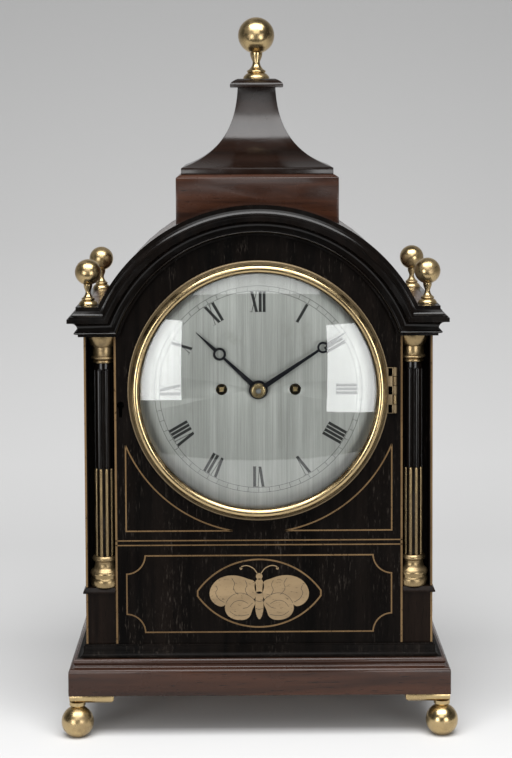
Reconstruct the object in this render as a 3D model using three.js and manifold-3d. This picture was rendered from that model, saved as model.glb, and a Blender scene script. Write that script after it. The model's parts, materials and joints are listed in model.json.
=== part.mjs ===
// Bracket clock with an arched case, bell top and ball finials.
// Millimetres, +Z up, +X to the right of someone who faces the dial, the dial looking along -Y.
// The origin lies on the shelf, under the middle of the four ball feet.
import * as THREE from 'three';
import { mergeVertices } from 'three/addons/utils/BufferGeometryUtils.js';
import Module from 'manifold-3d';

const wasm = await Module();
wasm.setup();

// ---------------------------------------------------------------- driving dimensions
const fitGap = 0.3; // between pieces that are fitted to each other
const runGap = 1; // round a piece that turns or swings in an opening

// feet and plinth
const footBallRadius = 13.2;
const footFlatRadius = 5;
const footNeckRise = 4.3;
const footNeckRadius = 6.6;
const footInset = 6.8;
const cornerPlateThickness = 5.9;
const cornerPlateLeg = 36;
const cornerPlateBreadth = 15;
const cornerPlateInset = 0.6;
const plinthRise = 39.4;
const plinthReach = 14;
const plinthFaceRise = 21.9;
const plinthEdgeReach = 10.7;
const plinthEdgeRise = 4.6;
const plinthEdgeDrop = 10.2; // from the trunk down to the top of the plinth's sharp edge
const plinthFilletWidth = 1.2;
const plinthSlopeWidth = 4.2;
const plinthSlopeRise = 3.6;
const plinthTopReach = 1.5;
const baseBoardThickness = 9;

// trunk
const dialHoleRadius = 100;
const panelMargin = 17; // from the dial's hole to the edge of the front panel
const recessWidth = 24.4; // from that edge to the side of the trunk
const recessLip = 2.4;
const trunkDepth = 180;
const trunkRise = 252.7;
const panelThickness = 12;
const frontThickness = 18;
const cornerPostWidth = 12;
const pedestalRise = 46.5;
const pedestalCapRise = 4.5;
const pedestalCapReach = 2.2;
const pedestalSeatDepth = 30; // how far the side panel is cut away above the pedestal's place

// columns
const columnInset = 15.2; // from the side of the trunk to the middle of the column
const columnSetBack = 10;
const shaftRadius = 7.6;
const fluteCount = 9;
const fluteWidth = 3.4;
const fluteDepth = 1.3;
const fluteStopRise = 72;
const fluteTopMargin = 4.5;
const columnBaseRise = 25;
const columnBaseRadius = 12.8;
const capitalRise = 22;
const capitalRadius = 13;

// cornice, roof and top
const corniceRise = 24.5;
const corniceReach = 12.5;
const archDrop = 36.7;
const archMargin = 18.5; // from the dial's hole to the inside of the arched moulding
const archSegments = 24;
const roofDrop = 1.5; // of the roof below the top of the arched moulding
const roofThickness = 9;
const boxHalfWidth = 66.75;
const boxTopAboveArch = 164;
const boxWall = 9;
const boxChamfer = 3.9;
const boxChamferRise = 2.5;
const bellSlabHalfWidth = 62.5;
const bellSlabRise = 5.2;
const bellRise = 66.6;
const bellNeckHalfWidth = 15.9;
const capHalfWidth = 22.3;
const capRise = 7.2;
const capEdgeRise = 2;

// finials
const cornerFinialInset = 2.9; // from the side of the trunk
const cornerFinialSetBack = 15; // from the front and the back of the trunk
const cornerBallRadius = 10.6;
const cornerBallHeight = 26.6;
const topBallRadius = 15.4;
const topBallHeight = 36.8;

// dial, bezel and glass
const dialAboveTrunkBottom = 208;
const dialClearance = 1.6; // between the dial and its hole
const dialThickness = 1.5;
const dialSetBack = 7;
const windingOffset = 30;
const windingHoleRadius = 4.7;
const bezelFlange = 6; // beyond the dial's hole
const bezelSightInset = 4; // within the dial's hole
const bezelBeadRadius = 3.3;
const glassInset = 2.1; // within the dial's hole
const glassRise = 12;
const glassThickness = 2;
const glassSetForward = 4.6;
const roundSegments = 40;
const bezelFootRise = 2;
const bezelCoveWidth = 1.5;
const bezelCoveRise = 1.6;
const bezelBeadInset = 6.5; // from the bezel's edge to the middle of its bead
const bezelSlope = 1.2;
const bezelBeadDrop = 0.2; // from the glass's lip to the middle of the bead
const bezelLipThickness = 0.8;
const spigotDepth = 5.4;
const spigotClearance = 0.6;
const hingeReach = 4.6; // from the bezel's edge to the pin of its hinge
const hingeStandOff = 2.2;
const hingePinRadius = 0.6;
const hingeKnuckleRadius = 1.7;
const hingeKnuckleCount = 5;
const hingeLength = 37.5;
const hingeLeafThickness = 1.8;
const hingeTangThickness = 1.4;
const hingeTangDepth = 13;
const knuckleGap = 0.2;
const keyholeReach = 12; // beyond the dial's hole
const keyholeDrop = 11.5;
const keyholeRadius = 3.1;
const keyholeSlotDrop = 10;
const keyholeSlotHalf = 1.24;
const keyholeDepth = 9;
const boltHeight = 5;
const boltLength = 13.2;
const boltThickness = 2.3;
const boltSetBack = 2.6;

// hands
const minuteHandAngle = 56.5; // clockwise from twelve, degrees
const hourHandAngle = -47;
const minuteHandLength = 86;
const minuteRingAt = 63;
const minuteRingRadius = 4.7;
const hourHandLength = 69;
const hourRingAt = 43;
const hourRingRadius = 5.3;
const hourBossRadius = 7.7;
const minuteBossRadius = 5.6;
const handRingBoreRatio = 0.62; // of the ring's radius
const handStemHalf = 2.1;
const handNeckHalf = 1.1;
const handTipHalf = 1.5;
const handPointHalf = 0.25;
const handThickness = 1;
const hourHandLift = 3.2; // from the dial to the front of the hour hand
const minuteHandLift = 3.4; // from the front of one hand to the front of the other
const colletRadius = 6.2;
const colletCrownRadius = 4.6;
const colletRise = 3;

// movement
const plateWidth = 140;
const plateRise = 138;
const plateThickness = 3;
const plateSpacing = 57;
const plateSetBack = 30; // front of the front plate, behind the front of the case
const plateTopAboveDial = 58;
const pillarRadius = 3.5;
const pillarInset = 7;
const dialFootOffset = 52;
const dialFootRise = 47;
const dialFootRadius = 2.5;
const seatBoardThickness = 10;
const seatBoardOverhang = 2; // behind the back plate
const centreArborRadius = 2;
const minutePipeRadius = 3.2;
const hourPipeRadius = 5;
const motionModule = 1;
const addendumRatio = 0.75; // of the module
const dedendumRatio = 1.05;
const cannonWheelThickness = 2.4;
const cannonWheelGap = 1.2; // in front of the front plate
const hourWheelThickness = 2;
const hourWheelGap = 1.4; // in front of the cannon wheel
const studRadius = 1.5;
const cannonTeeth = 24;
const hourPinionTeeth = 6;
const hourWheelTeeth = 72;
const fuseeLargeRadius = 20;
const fuseeSmallRadius = 9;
const fuseeLength = 32;
const fuseeTurns = 4;
const fuseeGrooveDepth = 1.2;
const fuseeArborRadius = 2.6;
const greatWheelRadius = 25;
const greatWheelTeeth = 36;
const greatWheelToothDepth = 2.2;
const greatWheelThickness = 2.5;
const greatWheelGap = 2.5; // behind the front plate
const windingSquareWidth = 3.6;
const windingSquareSetBack = 0.5; // behind the front of the dial
const windingSquareGap = 9; // from the front plate to the root of the square
const barrelRadius = 22;
const barrelRimReach = 1.5;
const barrelRimThickness = 2;
const barrelArborRadius = 3;
const barrelOffset = 40;
const barrelDrop = 50;
const barrelLength = 34;
const barrelGap = 4; // behind the front plate

// escapement and pendulum
const escapeAboveDial = 20;
const escapeRadius = 17;
const escapeTeeth = 30;
const escapeToothDepth = 3.4;
const escapeToothLeanRatio = 0.86; // of the pitch, from a tooth's point to its root
const escapeRimRadius = 11.4;
const escapeHubRadius = 4.6;
const escapeSpokes = 4;
const escapeThickness = 2.5;
const escapeGap = 9.5; // in front of the back plate
const escapeArborRadius = 1.4;
const escapeColletRadius = 3;
const anchorAboveDial = 44;
const anchorArborRadius = 1.6;
const anchorMargin = 0.4; // how much thicker than the wheel it is, on each face
const anchorHubHalf = 4.2;
const anchorArmDepth = 2; // of each arm where it turns down to its pallet
const palletReach = 3.8;
const palletDepth = 4;
const palletClearance = 1.4; // above the point of the wheel's tooth
const crutchGap = 2.4; // behind the back plate
const crutchThickness = 2;
const crutchHalf = 2;
const crutchDrop = 38;
const crutchForkRise = 3;
const crutchForkGap = 0.5;
const crutchProngWidth = 1.4;
const crutchForkOverhang = 2;
const crutchHoleRadius = 4.5;
const cockGap = 6; // from the back plate to the bridge
const cockThickness = 3;
const cockHalf = 20;
const cockLegWidth = 6;
const cockDrop = 8;
const cockRise = 4;
const suspensionHalf = 5;
const suspensionRise = 13;
const suspensionStudHalf = 3;
const suspensionStudDepth = 6;
const suspensionStudOverhang = 3;
const suspensionSpringHalf = 2.5;
const suspensionSpringThickness = 0.6;
const suspensionSpringDrop = 8;
const pendulumBlockHalf = 3.5;
const pendulumBlockThickness = 3;
const pendulumBlockRise = 7;
const pendulumLength = 196;
const pendulumRodRadius = 1.3;
const pendulumRodTail = 8; // of the rod below the bob
const pendulumBehindPlate = 12;
const bobRadius = 24;
const bobThickness = 10;
const ratingNutRadius = 4;
const ratingNutRise = 4;

// bell and hammer
const bellRadius = 38;
const bellHeight = 26;
const bellWall = 2;
const bellAbovePlates = 10;
const bellPostRadius = 3;
const bellStrapHalf = 5;
const bellStrapThickness = 2.7;
const bellNutRadius = 4;
const bellNutRise = 3;
const hammerOffset = 52;
const hammerAboveDial = 36;
const hammerArborRadius = 1.5;
const hammerArmHalf = 3;
const hammerArmThickness = 3;
const hammerHeadRadius = 4;
const hammerHeadLength = 10;
const hammerHeadGap = 2; // between the bell and the head at rest
const hammerHeadRise = 3; // of the head's middle above the mouth of the bell

// back
const doorInset = 50.4; // from the side of the trunk to the edge of the door
const doorRail = 17;
const doorThickness = 10;
const doorBottomAboveTrunk = 22;
const doorGlassThickness = 2.5;
const doorRebateWidth = 5;
const doorRebateDepth = 4;
const doorHingeRadius = 2;
const doorHingeHalf = 15;
const doorHingeInset = 40; // of each hinge from the foot and from the spring of the door's arch
const doorLeafWidth = 14;
const doorLeafThickness = 1.2;
const doorKnobRadius = 5.4;
const doorKnobReach = 14;
const doorKnobDrop = 20;

// ---------------------------------------------------------------- levels that follow from them
const footBallLevel = Math.sqrt(footBallRadius ** 2 - footFlatRadius ** 2);
const plateBottom = 2 * footBallLevel + footNeckRise;
const plinthBottom = plateBottom + cornerPlateThickness;
const trunkBottom = plinthBottom + plinthRise;
const corniceBottom = trunkBottom + trunkRise;
const shoulderTop = corniceBottom + corniceRise;
const archCentre = corniceBottom - archDrop;
const dialCentre = trunkBottom + dialAboveTrunkBottom;
const frontFace = -trunkDepth / 2;
const frontBack = frontFace + frontThickness;
const backFace = trunkDepth / 2;
const backInner = backFace - panelThickness;
const frontHalf = dialHoleRadius + panelMargin;
const sideFace = frontHalf + recessWidth;
const archInnerRadius = dialHoleRadius + archMargin;
const roofRadius = archInnerRadius + corniceRise - roofDrop;
const bezelRadius = dialHoleRadius + bezelFlange;
const glassRadius = dialHoleRadius - glassInset;
const hingeOffset = bezelRadius + hingeReach;
const keyholeOffset = dialHoleRadius + keyholeReach;
const pedestalTop = trunkBottom + pedestalRise;

// ---------------------------------------------------------------- helpers
function toSolid(geometry) {
  const bare = geometry.clone();
  bare.deleteAttribute('normal');
  bare.deleteAttribute('uv');
  const merged = mergeVertices(bare, 1e-4);
  const vertProperties = merged.attributes.position.array;
  const triVerts = new Uint32Array(merged.index.array);
  return new wasm.Manifold(new wasm.Mesh({ numProp: 3, vertProperties, triVerts }));
}

function indexed(positions, index) {
  const geometry = new THREE.BufferGeometry();
  geometry.setAttribute('position', new THREE.Float32BufferAttribute(positions, 3));
  geometry.setIndex(new THREE.Uint32BufferAttribute(index, 1));
  return geometry;
}

function toGeometry(solid) {
  const { vertProperties, triVerts } = solid.getMesh();
  return indexed(vertProperties, triVerts);
}

const join = (...pieces) => toGeometry(pieces.map(toSolid).reduce((all, one) => all.add(one)));
const cut = (body, ...tools) =>
  toGeometry(tools.map(toSolid).reduce((left, tool) => left.subtract(tool), toSolid(body)));

function block([x0, x1], [y0, y1], [z0, z1]) {
  const geometry = new THREE.BoxGeometry(x1 - x0, y1 - y0, z1 - z0);
  return geometry.translate((x0 + x1) / 2, (y0 + y1) / 2, (z0 + z1) / 2);
}

// A profile of [radius, y] points turned about an axis that runs from front to back.
const turnedInDepth = (profile, segments = 20) =>
  new THREE.LatheGeometry(profile.map(([r, y]) => new THREE.Vector2(r, y)), segments);

// A profile of [radius, height] points turned about a vertical axis.
const turned = (profile, segments = 20) => turnedInDepth(profile, segments).rotateX(Math.PI / 2);

// A profile of [half width, height] points carried round a square plan with mitred corners.
function squareTurned(profile) {
  const points = profile.map(([w, h]) => new THREE.Vector2(w * Math.SQRT2, h));
  return new THREE.LatheGeometry(points, 4, Math.PI / 4).rotateX(Math.PI / 2);
}

const rod = (radius, y0, y1, segments = 10) =>
  turnedInDepth([[0, y0], [radius, y0], [radius, y1], [0, y1]], segments);

// A front view outline given a thickness from y0 at the front to y1 at the back.
function slab(outline, y0, y1) {
  const geometry = new THREE.ExtrudeGeometry(outline, { depth: y1 - y0, bevelEnabled: false });
  return geometry.rotateX(Math.PI / 2).translate(0, y1, 0);
}

const outlineOf = (points) => new THREE.Shape(points.map(([x, z]) => new THREE.Vector2(x, z)));

const circlePoints = (x, z, radius, steps) => arcPoints(x, z, radius, 0, 360, steps).slice(1);

function roundHole(shape, x, z, radius, steps = 10) {
  shape.holes.push(outlineOf(circlePoints(x, z, radius, steps)));
}

// A closed profile of [reach, rise] points carried through stations, mitred where they turn.
function sweep(profile, stations, closed) {
  const count = profile.length;
  const positions = stations.flatMap((station) => profile.flatMap((point) => station(...point)));
  const index = [];
  const spans = closed ? stations.length : stations.length - 1;
  for (let i = 0; i < spans; i += 1) {
    const here = i * count;
    const there = ((i + 1) % stations.length) * count;
    for (let j = 0; j < count; j += 1) {
      const k = (j + 1) % count;
      index.push(here + j, there + j, there + k, here + j, there + k, here + k);
    }
  }
  if (!closed) {
    const flat = profile.map(([reach, rise]) => new THREE.Vector2(reach, rise));
    const end = (stations.length - 1) * count;
    for (const [a, b, c] of THREE.ShapeUtils.triangulateShape(flat, [])) {
      index.push(a, b, c, end + c, end + b, end + a);
    }
  }
  return indexed(positions, index);
}

// Rings of equally many points, one above the other, closed by flat fans at both ends.
function loft(positions, rings, count, reversed) {
  const index = [];
  const face = (a, b, c) => (reversed ? index.push(a, c, b) : index.push(a, b, c));
  for (let i = 0; i < rings - 1; i += 1) {
    for (let j = 0; j < count; j += 1) {
      const here = i * count;
      const k = (j + 1) % count;
      face(here + j, here + k, here + count + k);
      face(here + j, here + count + k, here + count + j);
    }
  }
  const top = (rings - 1) * count;
  for (let j = 1; j < count - 1; j += 1) {
    face(0, j + 1, j);
    face(top, top + j, top + j + 1);
  }
  return indexed(positions, index);
}

// Points of a path whose straight runs keep their ends and whose curves take a few steps.
const pathPoints = (path, steps) => path.getPoints(steps).map(({ x, y }) => [x, y]);

// The points of a circle arc, angles in degrees, from one angle to the other.
function arcPoints(x, y, radius, from, to, steps) {
  return Array.from({ length: steps + 1 }, (_, i) => {
    const angle = THREE.MathUtils.degToRad(from + ((to - from) * i) / steps);
    return [x + radius * Math.cos(angle), y + radius * Math.sin(angle)];
  });
}

// A wheel with pointed teeth, its first tooth straight up plus the phase in teeth.
function toothed(teeth, tipRadius, rootRadius, phase = 0, lean = 0.5) {
  const points = [];
  for (let i = 0; i < teeth; i += 1) {
    const tip = Math.PI / 2 + (2 * Math.PI * (i + phase)) / teeth;
    const root = tip + (2 * Math.PI * lean) / teeth;
    points.push([tipRadius * Math.cos(tip), tipRadius * Math.sin(tip)]);
    points.push([rootRadius * Math.cos(root), rootRadius * Math.sin(root)]);
  }
  return outlineOf(points);
}

const clock = new THREE.Group();
const finishes = {
  ebonised: { color: 0x17110f, roughness: 0.35, metalness: 0 },
  mahogany: { color: 0x3a1d12, roughness: 0.35, metalness: 0 },
  innerWood: { color: 0x6b4428, roughness: 0.7, metalness: 0 },
  brass: { color: 0xb08d4f, roughness: 0.25, metalness: 1 },
  silvered: { color: 0xc9c6bd, roughness: 0.45, metalness: 0.6 },
  blued: { color: 0x14161c, roughness: 0.3, metalness: 0.9 },
  steel: { color: 0x8d9095, roughness: 0.3, metalness: 1 },
  glass: { color: 0xe8f0f0, roughness: 0.02, metalness: 0 },
};

function add(name, finish, geometry) {
  const mesh = new THREE.Mesh(geometry, new THREE.MeshStandardMaterial(finishes[finish]));
  mesh.name = name;
  clock.add(mesh);
}

const sides = [['left', -1], ['right', 1]];
const corners = [
  ['front_left', -1, -1],
  ['front_right', 1, -1],
  ['back_left', -1, 1],
  ['back_right', 1, 1],
];

// ---------------------------------------------------------------- feet, corner plates, plinth
const plinthHalfX = sideFace + plinthReach;
const plinthHalfY = trunkDepth / 2 + plinthReach;

function ballFoot() {
  const low = THREE.MathUtils.radToDeg(Math.asin(footBallLevel / footBallRadius));
  const neckStart = 2 * footBallLevel;
  return turned([
    [0, 0],
    ...arcPoints(0, footBallLevel, footBallRadius, -low, low, 7),
    [footNeckRadius, neckStart + footNeckRise * 0.35],
    [footNeckRadius, plateBottom],
    [0, plateBottom],
  ], 12);
}

function cornerPlate(signX, signY) {
  const outerX = plinthHalfX - cornerPlateInset;
  const outerY = plinthHalfY - cornerPlateInset;
  const plan = outlineOf([
    [outerX, outerY],
    [outerX - cornerPlateLeg, outerY],
    [outerX - cornerPlateLeg, outerY - cornerPlateBreadth],
    [outerX - cornerPlateBreadth, outerY - cornerPlateBreadth],
    [outerX - cornerPlateBreadth, outerY - cornerPlateLeg],
    [outerX, outerY - cornerPlateLeg],
  ].map(([x, y]) => [x * signX, y * signY]));
  const bevel = cornerPlateThickness / 3;
  const geometry = new THREE.ExtrudeGeometry(plan, {
    depth: cornerPlateThickness - bevel,
    bevelThickness: bevel,
    bevelSize: bevel,
    bevelOffset: -bevel,
    bevelSegments: 1,
  });
  // The bevelled edge stays below, and the flat face above lies against the plinth.
  geometry.translate(0, 0, plateBottom + bevel);
  const above = block([-plinthHalfX, plinthHalfX], [-plinthHalfY, plinthHalfY],
    [plinthBottom, trunkBottom]);
  return cut(geometry, above);
}

for (const [corner, signX, signY] of corners) {
  const x = signX * (plinthHalfX - footInset);
  const y = signY * (plinthHalfY - footInset);
  add(`foot_${corner}`, 'brass', ballFoot().translate(x, y, 0));
  add(`corner_plate_${corner}`, 'brass', cornerPlate(signX, signY));
}

const plinthEdgeTop = trunkBottom - plinthEdgeDrop;
const plinthEdgeBottom = plinthEdgeTop - plinthEdgeRise;
const plinthSlopeTop = plinthEdgeTop + plinthSlopeRise;
const plinthProfile = pathPoints(new THREE.Path()
  .moveTo(-panelThickness, plinthBottom)
  .lineTo(plinthReach, plinthBottom)
  .lineTo(plinthReach, plinthBottom + plinthFaceRise)
  .quadraticCurveTo(plinthReach, plinthEdgeBottom, plinthEdgeReach, plinthEdgeBottom)
  .lineTo(plinthEdgeReach, plinthEdgeTop)
  .lineTo(plinthEdgeReach - plinthFilletWidth, plinthEdgeTop)
  .lineTo(plinthEdgeReach - plinthFilletWidth - plinthSlopeWidth, plinthSlopeTop)
  .quadraticCurveTo(plinthTopReach, (plinthSlopeTop + trunkBottom) / 2, plinthTopReach, trunkBottom)
  .lineTo(-panelThickness, trunkBottom), 4);
const plinthCorner = (signX, signY) => (reach, rise) =>
  [signX * (sideFace + reach), signY * (trunkDepth / 2 + reach), rise];
add('plinth', 'mahogany', sweep(plinthProfile, [
  plinthCorner(-1, -1), plinthCorner(1, -1), plinthCorner(1, 1), plinthCorner(-1, 1),
], true));

const boardHalfX = sideFace - panelThickness - fitGap;
const boardHalfY = trunkDepth / 2 - panelThickness - fitGap;
add('base_board', 'innerWood', block([-boardHalfX, boardHalfX], [-boardHalfY, boardHalfY],
  [trunkBottom - fitGap - baseBoardThickness, trunkBottom - fitGap]));

// ---------------------------------------------------------------- trunk
const postFront = frontBack + fitGap;
const postBack = postFront + cornerPostWidth;

// The side panel carries the corner post that closes the back of the column's recess.
function sidePanel(sign) {
  const lip = sideFace - recessLip;
  const inner = sideFace - panelThickness;
  const plan = outlineOf([
    [lip, frontFace],
    [sideFace, frontFace],
    [sideFace, backInner - fitGap],
    [inner, backInner - fitGap],
    [inner, postBack],
    [frontHalf - cornerPostWidth, postBack],
    [frontHalf - cornerPostWidth, postFront],
    [lip, postFront],
  ].map(([x, y]) => [x * sign, y]));
  const panel = new THREE.ExtrudeGeometry(plan, { depth: trunkRise, bevelEnabled: false });
  panel.translate(0, 0, trunkBottom);
  const pedestalSeat = block([sign * sideFace - pedestalSeatDepth, sign * sideFace + pedestalSeatDepth],
    [frontFace - 1, postFront], [trunkBottom - 1, pedestalTop + fitGap]);
  return cut(panel, pedestalSeat);
}

for (const [side, sign] of sides) add(`side_panel_${side}`, 'ebonised', sidePanel(sign));

// The outline that closes both ends of the roof: the shoulders and the arch between them.
const shoulderInner = Math.sqrt(roofRadius ** 2 - (shoulderTop - archCentre) ** 2);
const roofAngle = THREE.MathUtils.radToDeg(Math.atan2(shoulderTop - archCentre, shoulderInner));
const roofArc = arcPoints(0, archCentre, roofRadius, roofAngle, 180 - roofAngle, archSegments);

// The bolt of the bezel's lock slides in a pocket of the front panel.
const boltInner = dialHoleRadius + fitGap;
const boltOuter = boltInner + boltLength;
const boltDepth = (gap) => [frontFace + boltSetBack - gap, frontFace + boltSetBack + boltThickness + gap];
const boltLevel = (gap) => [dialCentre - boltHeight / 2 - gap, dialCentre + boltHeight / 2 + gap];

// The fixed half of the bezel's hinge goes into the panel by a tang as long as its middle knuckles.
const knuckleLength = hingeLength / hingeKnuckleCount;
const knuckleSpan = (first, last) =>
  [first, last].map((edge) => dialCentre + (edge - hingeKnuckleCount / 2) * knuckleLength);
const hingeTangBack = frontFace + hingeTangDepth;
const hingeTangLevel = (gap) => {
  const [low, high] = knuckleSpan(1, hingeKnuckleCount - 1);
  return [low - gap, high + gap];
};

function frontPanel() {
  const shape = outlineOf([
    [-frontHalf, trunkBottom],
    [frontHalf, trunkBottom],
    [frontHalf, corniceBottom],
    [sideFace, corniceBottom],
    [sideFace, shoulderTop],
    ...roofArc,
    [-sideFace, shoulderTop],
    [-sideFace, corniceBottom],
    [-frontHalf, corniceBottom],
  ]);
  roundHole(shape, 0, dialCentre, dialHoleRadius, roundSegments);
  const keyTop = dialCentre - keyholeDrop;
  const keyhole = outlineOf([
    ...arcPoints(-keyholeOffset, keyTop, keyholeRadius, -60, 240, 10),
    [-keyholeOffset - keyholeSlotHalf, keyTop - keyholeSlotDrop],
    [-keyholeOffset + keyholeSlotHalf, keyTop - keyholeSlotDrop],
  ]);
  const boltPocket = block([-boltOuter - fitGap, 1 - dialHoleRadius],
    boltDepth(fitGap), boltLevel(fitGap));
  const tangHalf = hingeTangThickness / 2 + fitGap;
  const tangSlot = block([hingeOffset - tangHalf, hingeOffset + tangHalf],
    [frontFace - 1, hingeTangBack + fitGap], hingeTangLevel(fitGap));
  return cut(slab(shape, frontFace, frontBack),
    slab(keyhole, frontFace - 1, frontFace + keyholeDepth), boltPocket, tangSlot);
}
add('front_panel', 'ebonised', frontPanel());
add('lock_bolt', 'steel', block([-boltOuter, -boltInner], boltDepth(0), boltLevel(0)));

// ---------------------------------------------------------------- pedestals and columns
const columnY = frontFace + columnSetBack;

// Pedestal block with its little sloping cap, flush with the front and side of the trunk.
function pedestal(sign) {
  const rings = [
    [0, trunkBottom],
    [0, pedestalTop - pedestalCapRise],
    [pedestalCapReach, pedestalTop - pedestalCapRise],
    [pedestalCapReach, pedestalTop - pedestalCapRise * 0.7],
    [pedestalCapReach * 0.4, pedestalTop - pedestalCapRise * 0.3],
    [0, pedestalTop],
  ];
  const inner = frontHalf + fitGap;
  const back = postFront - fitGap;
  const positions = rings.flatMap(([reach, z]) => [
    [sign * inner, frontFace - reach, z],
    [sign * (sideFace + reach), frontFace - reach, z],
    [sign * (sideFace + reach), back, z],
    [sign * inner, back, z],
  ]).flat();
  return loft(positions, rings.length, 4, sign < 0);
}

const shaftBottom = pedestalTop + columnBaseRise;
const shaftTop = corniceBottom - capitalRise;

// One ring of the shaft: relief 1 is a hollow flute, -1 the rod that stops it, 0 the plain round.
function shaftRing(relief, z) {
  const stepsPerFlute = 4;
  const fluteAngle = fluteWidth / shaftRadius;
  const pitch = (2 * Math.PI) / fluteCount;
  const points = [];
  for (let flute = 0; flute < fluteCount; flute += 1) {
    const middle = -Math.PI / 2 + pitch * (flute + 0.5);
    for (let step = 0; step < stepsPerFlute; step += 1) {
      const across = (2 * step) / (stepsPerFlute - 1) - 1;
      const hollow = Math.sqrt(1 - across ** 2);
      const rodBulge = 0.6 * hollow * fluteDepth - 0.25 * fluteDepth;
      const edge = step === 0 || step === stepsPerFlute - 1;
      const depth = relief > 0 ? hollow * fluteDepth : edge ? 0 : -rodBulge;
      const radius = shaftRadius - (relief === 0 ? 0 : depth);
      const angle = middle + (across * fluteAngle) / 2;
      points.push([radius * Math.cos(angle), radius * Math.sin(angle), z]);
    }
  }
  return points;
}

function columnShaft() {
  const stopTop = shaftBottom + fluteStopRise;
  const rings = [
    shaftRing(-1, shaftBottom + fitGap),
    shaftRing(-1, stopTop - fluteWidth / 2),
    shaftRing(1, stopTop),
    shaftRing(1, shaftTop - fluteTopMargin - fluteWidth / 2),
    shaftRing(0, shaftTop - fluteTopMargin),
    shaftRing(0, shaftTop - fitGap),
  ];
  return loft(rings.flat(2), rings.length, rings[0].length, false);
}

// Turned brass base: bottom dome, rings, torus, hollow and top ring; levels from the pedestal up.
function columnBase() {
  const r = columnBaseRadius;
  const h = columnBaseRise;
  return turned(pathPoints(new THREE.Path()
    .moveTo(0, 0)
    .lineTo(r * 0.93, 0)
    .quadraticCurveTo(r * 1.02, h * 0.1, r * 0.97, h * 0.24)
    .lineTo(r * 0.9, h * 0.28)
    .lineTo(r * 0.93, h * 0.36)
    .quadraticCurveTo(r * 1.02, h * 0.44, r * 0.86, h * 0.54)
    .lineTo(r * 0.76, h * 0.58)
    .quadraticCurveTo(r * 0.62, h * 0.7, r * 0.68, h * 0.82)
    .quadraticCurveTo(r * 0.92, h * 0.9, r * 0.72, h)
    .lineTo(0, h), 2), 12);
}

// Turned brass capital: small ring, bright astragal, neck and the flare under the cornice.
function capital() {
  const r = capitalRadius;
  const h = capitalRise;
  return turned(pathPoints(new THREE.Path()
    .moveTo(0, 0)
    .lineTo(r * 0.66, 0)
    .lineTo(r * 0.68, h * 0.06)
    .lineTo(r * 0.62, h * 0.1)
    .quadraticCurveTo(r * 0.96, h * 0.18, r * 0.66, h * 0.26)
    .lineTo(r * 0.68, h * 0.58)
    .quadraticCurveTo(r * 0.84, h * 0.66, r * 0.98, h * 0.92)
    .lineTo(r, h)
    .lineTo(0, h), 2), 12);
}

// The recess is narrower than the turnings, so each is cut flat towards the panel and the post.
function recessed(geometry, sign) {
  const inner = frontHalf + fitGap;
  const lip = sideFace - recessLip - fitGap;
  const between = (from, to) => [Math.min(sign * from, sign * to), Math.max(sign * from, sign * to)];
  const depth = [frontFace - trunkDepth, 0];
  const level = [trunkBottom, corniceBottom];
  const towardsPanel = block(between(0, inner), depth, level);
  const towardsLip = block(between(lip, 2 * lip), depth, level);
  const towardsPost = block([-2 * sideFace, 2 * sideFace], [postFront - fitGap, 0], level);
  return cut(geometry, towardsPanel, towardsLip, towardsPost);
}

for (const [side, sign] of sides) {
  const x = sign * (sideFace - columnInset);
  add(`pedestal_${side}`, 'ebonised', pedestal(sign));
  add(`column_base_${side}`, 'brass', recessed(columnBase().translate(x, columnY, pedestalTop), sign));
  add(`column_shaft_${side}`, 'ebonised', columnShaft().translate(x, columnY, 0));
  add(`capital_${side}`, 'brass', recessed(capital().translate(x, columnY, shaftTop), sign));
}

// ---------------------------------------------------------------- roof and cornice
function roof() {
  const inner = roofRadius - roofThickness;
  const low = THREE.MathUtils.radToDeg(Math.asin((corniceBottom - archCentre) / inner));
  const shape = outlineOf([
    [sideFace, corniceBottom],
    [sideFace, shoulderTop],
    ...roofArc,
    [-sideFace, shoulderTop],
    [-sideFace, corniceBottom],
    ...arcPoints(0, archCentre, inner, 180 - low, low, archSegments),
  ]);
  return slab(shape, frontBack + fitGap, backInner - fitGap);
}
add('roof', 'mahogany', roof());

// Cornice moulding from the bead at its foot, through the hollow and the sharp edge, to the top fillet.
const corniceProfile = pathPoints(new THREE.Path()
  .moveTo(0, 0)
  .lineTo(corniceReach * 0.34, 0)
  .lineTo(corniceReach * 0.34, corniceRise * 0.07)
  .quadraticCurveTo(corniceReach * 0.86, corniceRise * 0.125, corniceReach * 0.36, corniceRise * 0.19)
  .quadraticCurveTo(corniceReach * 0.34, corniceRise * 0.46, corniceReach * 0.86, corniceRise * 0.47)
  .lineTo(corniceReach, corniceRise * 0.48)
  .lineTo(corniceReach, corniceRise * 0.62)
  .lineTo(corniceReach * 0.88, corniceRise * 0.63)
  .lineTo(corniceReach * 0.88, corniceRise * 0.68)
  .quadraticCurveTo(corniceReach * 0.62, corniceRise * 0.7, corniceReach * 0.56, corniceRise * 0.86)
  .lineTo(corniceReach * 0.46, corniceRise * 0.87)
  .lineTo(corniceReach * 0.46, corniceRise)
  .lineTo(0, corniceRise), 2);

const corniceCorner = (sign) => (reach, rise) =>
  [sign * (sideFace + reach), frontFace - reach, corniceBottom + rise];
// Where the shoulder's moulding meets the arch, every member turns at its own radius.
const archAngleAt = (rise) => Math.asin((archDrop + rise) / (archInnerRadius + rise));
const archStation = (part) => (reach, rise) => {
  const start = archAngleAt(rise);
  const angle = Math.PI - start - part * (Math.PI - 2 * start);
  const radius = archInnerRadius + rise;
  return [radius * Math.cos(angle), frontFace - reach, archCentre + radius * Math.sin(angle)];
};
add('front_cornice', 'ebonised', sweep(corniceProfile, [
  corniceCorner(-1),
  ...Array.from({ length: archSegments + 1 }, (_, i) => archStation(i / archSegments)),
  corniceCorner(1),
], false));

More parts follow.
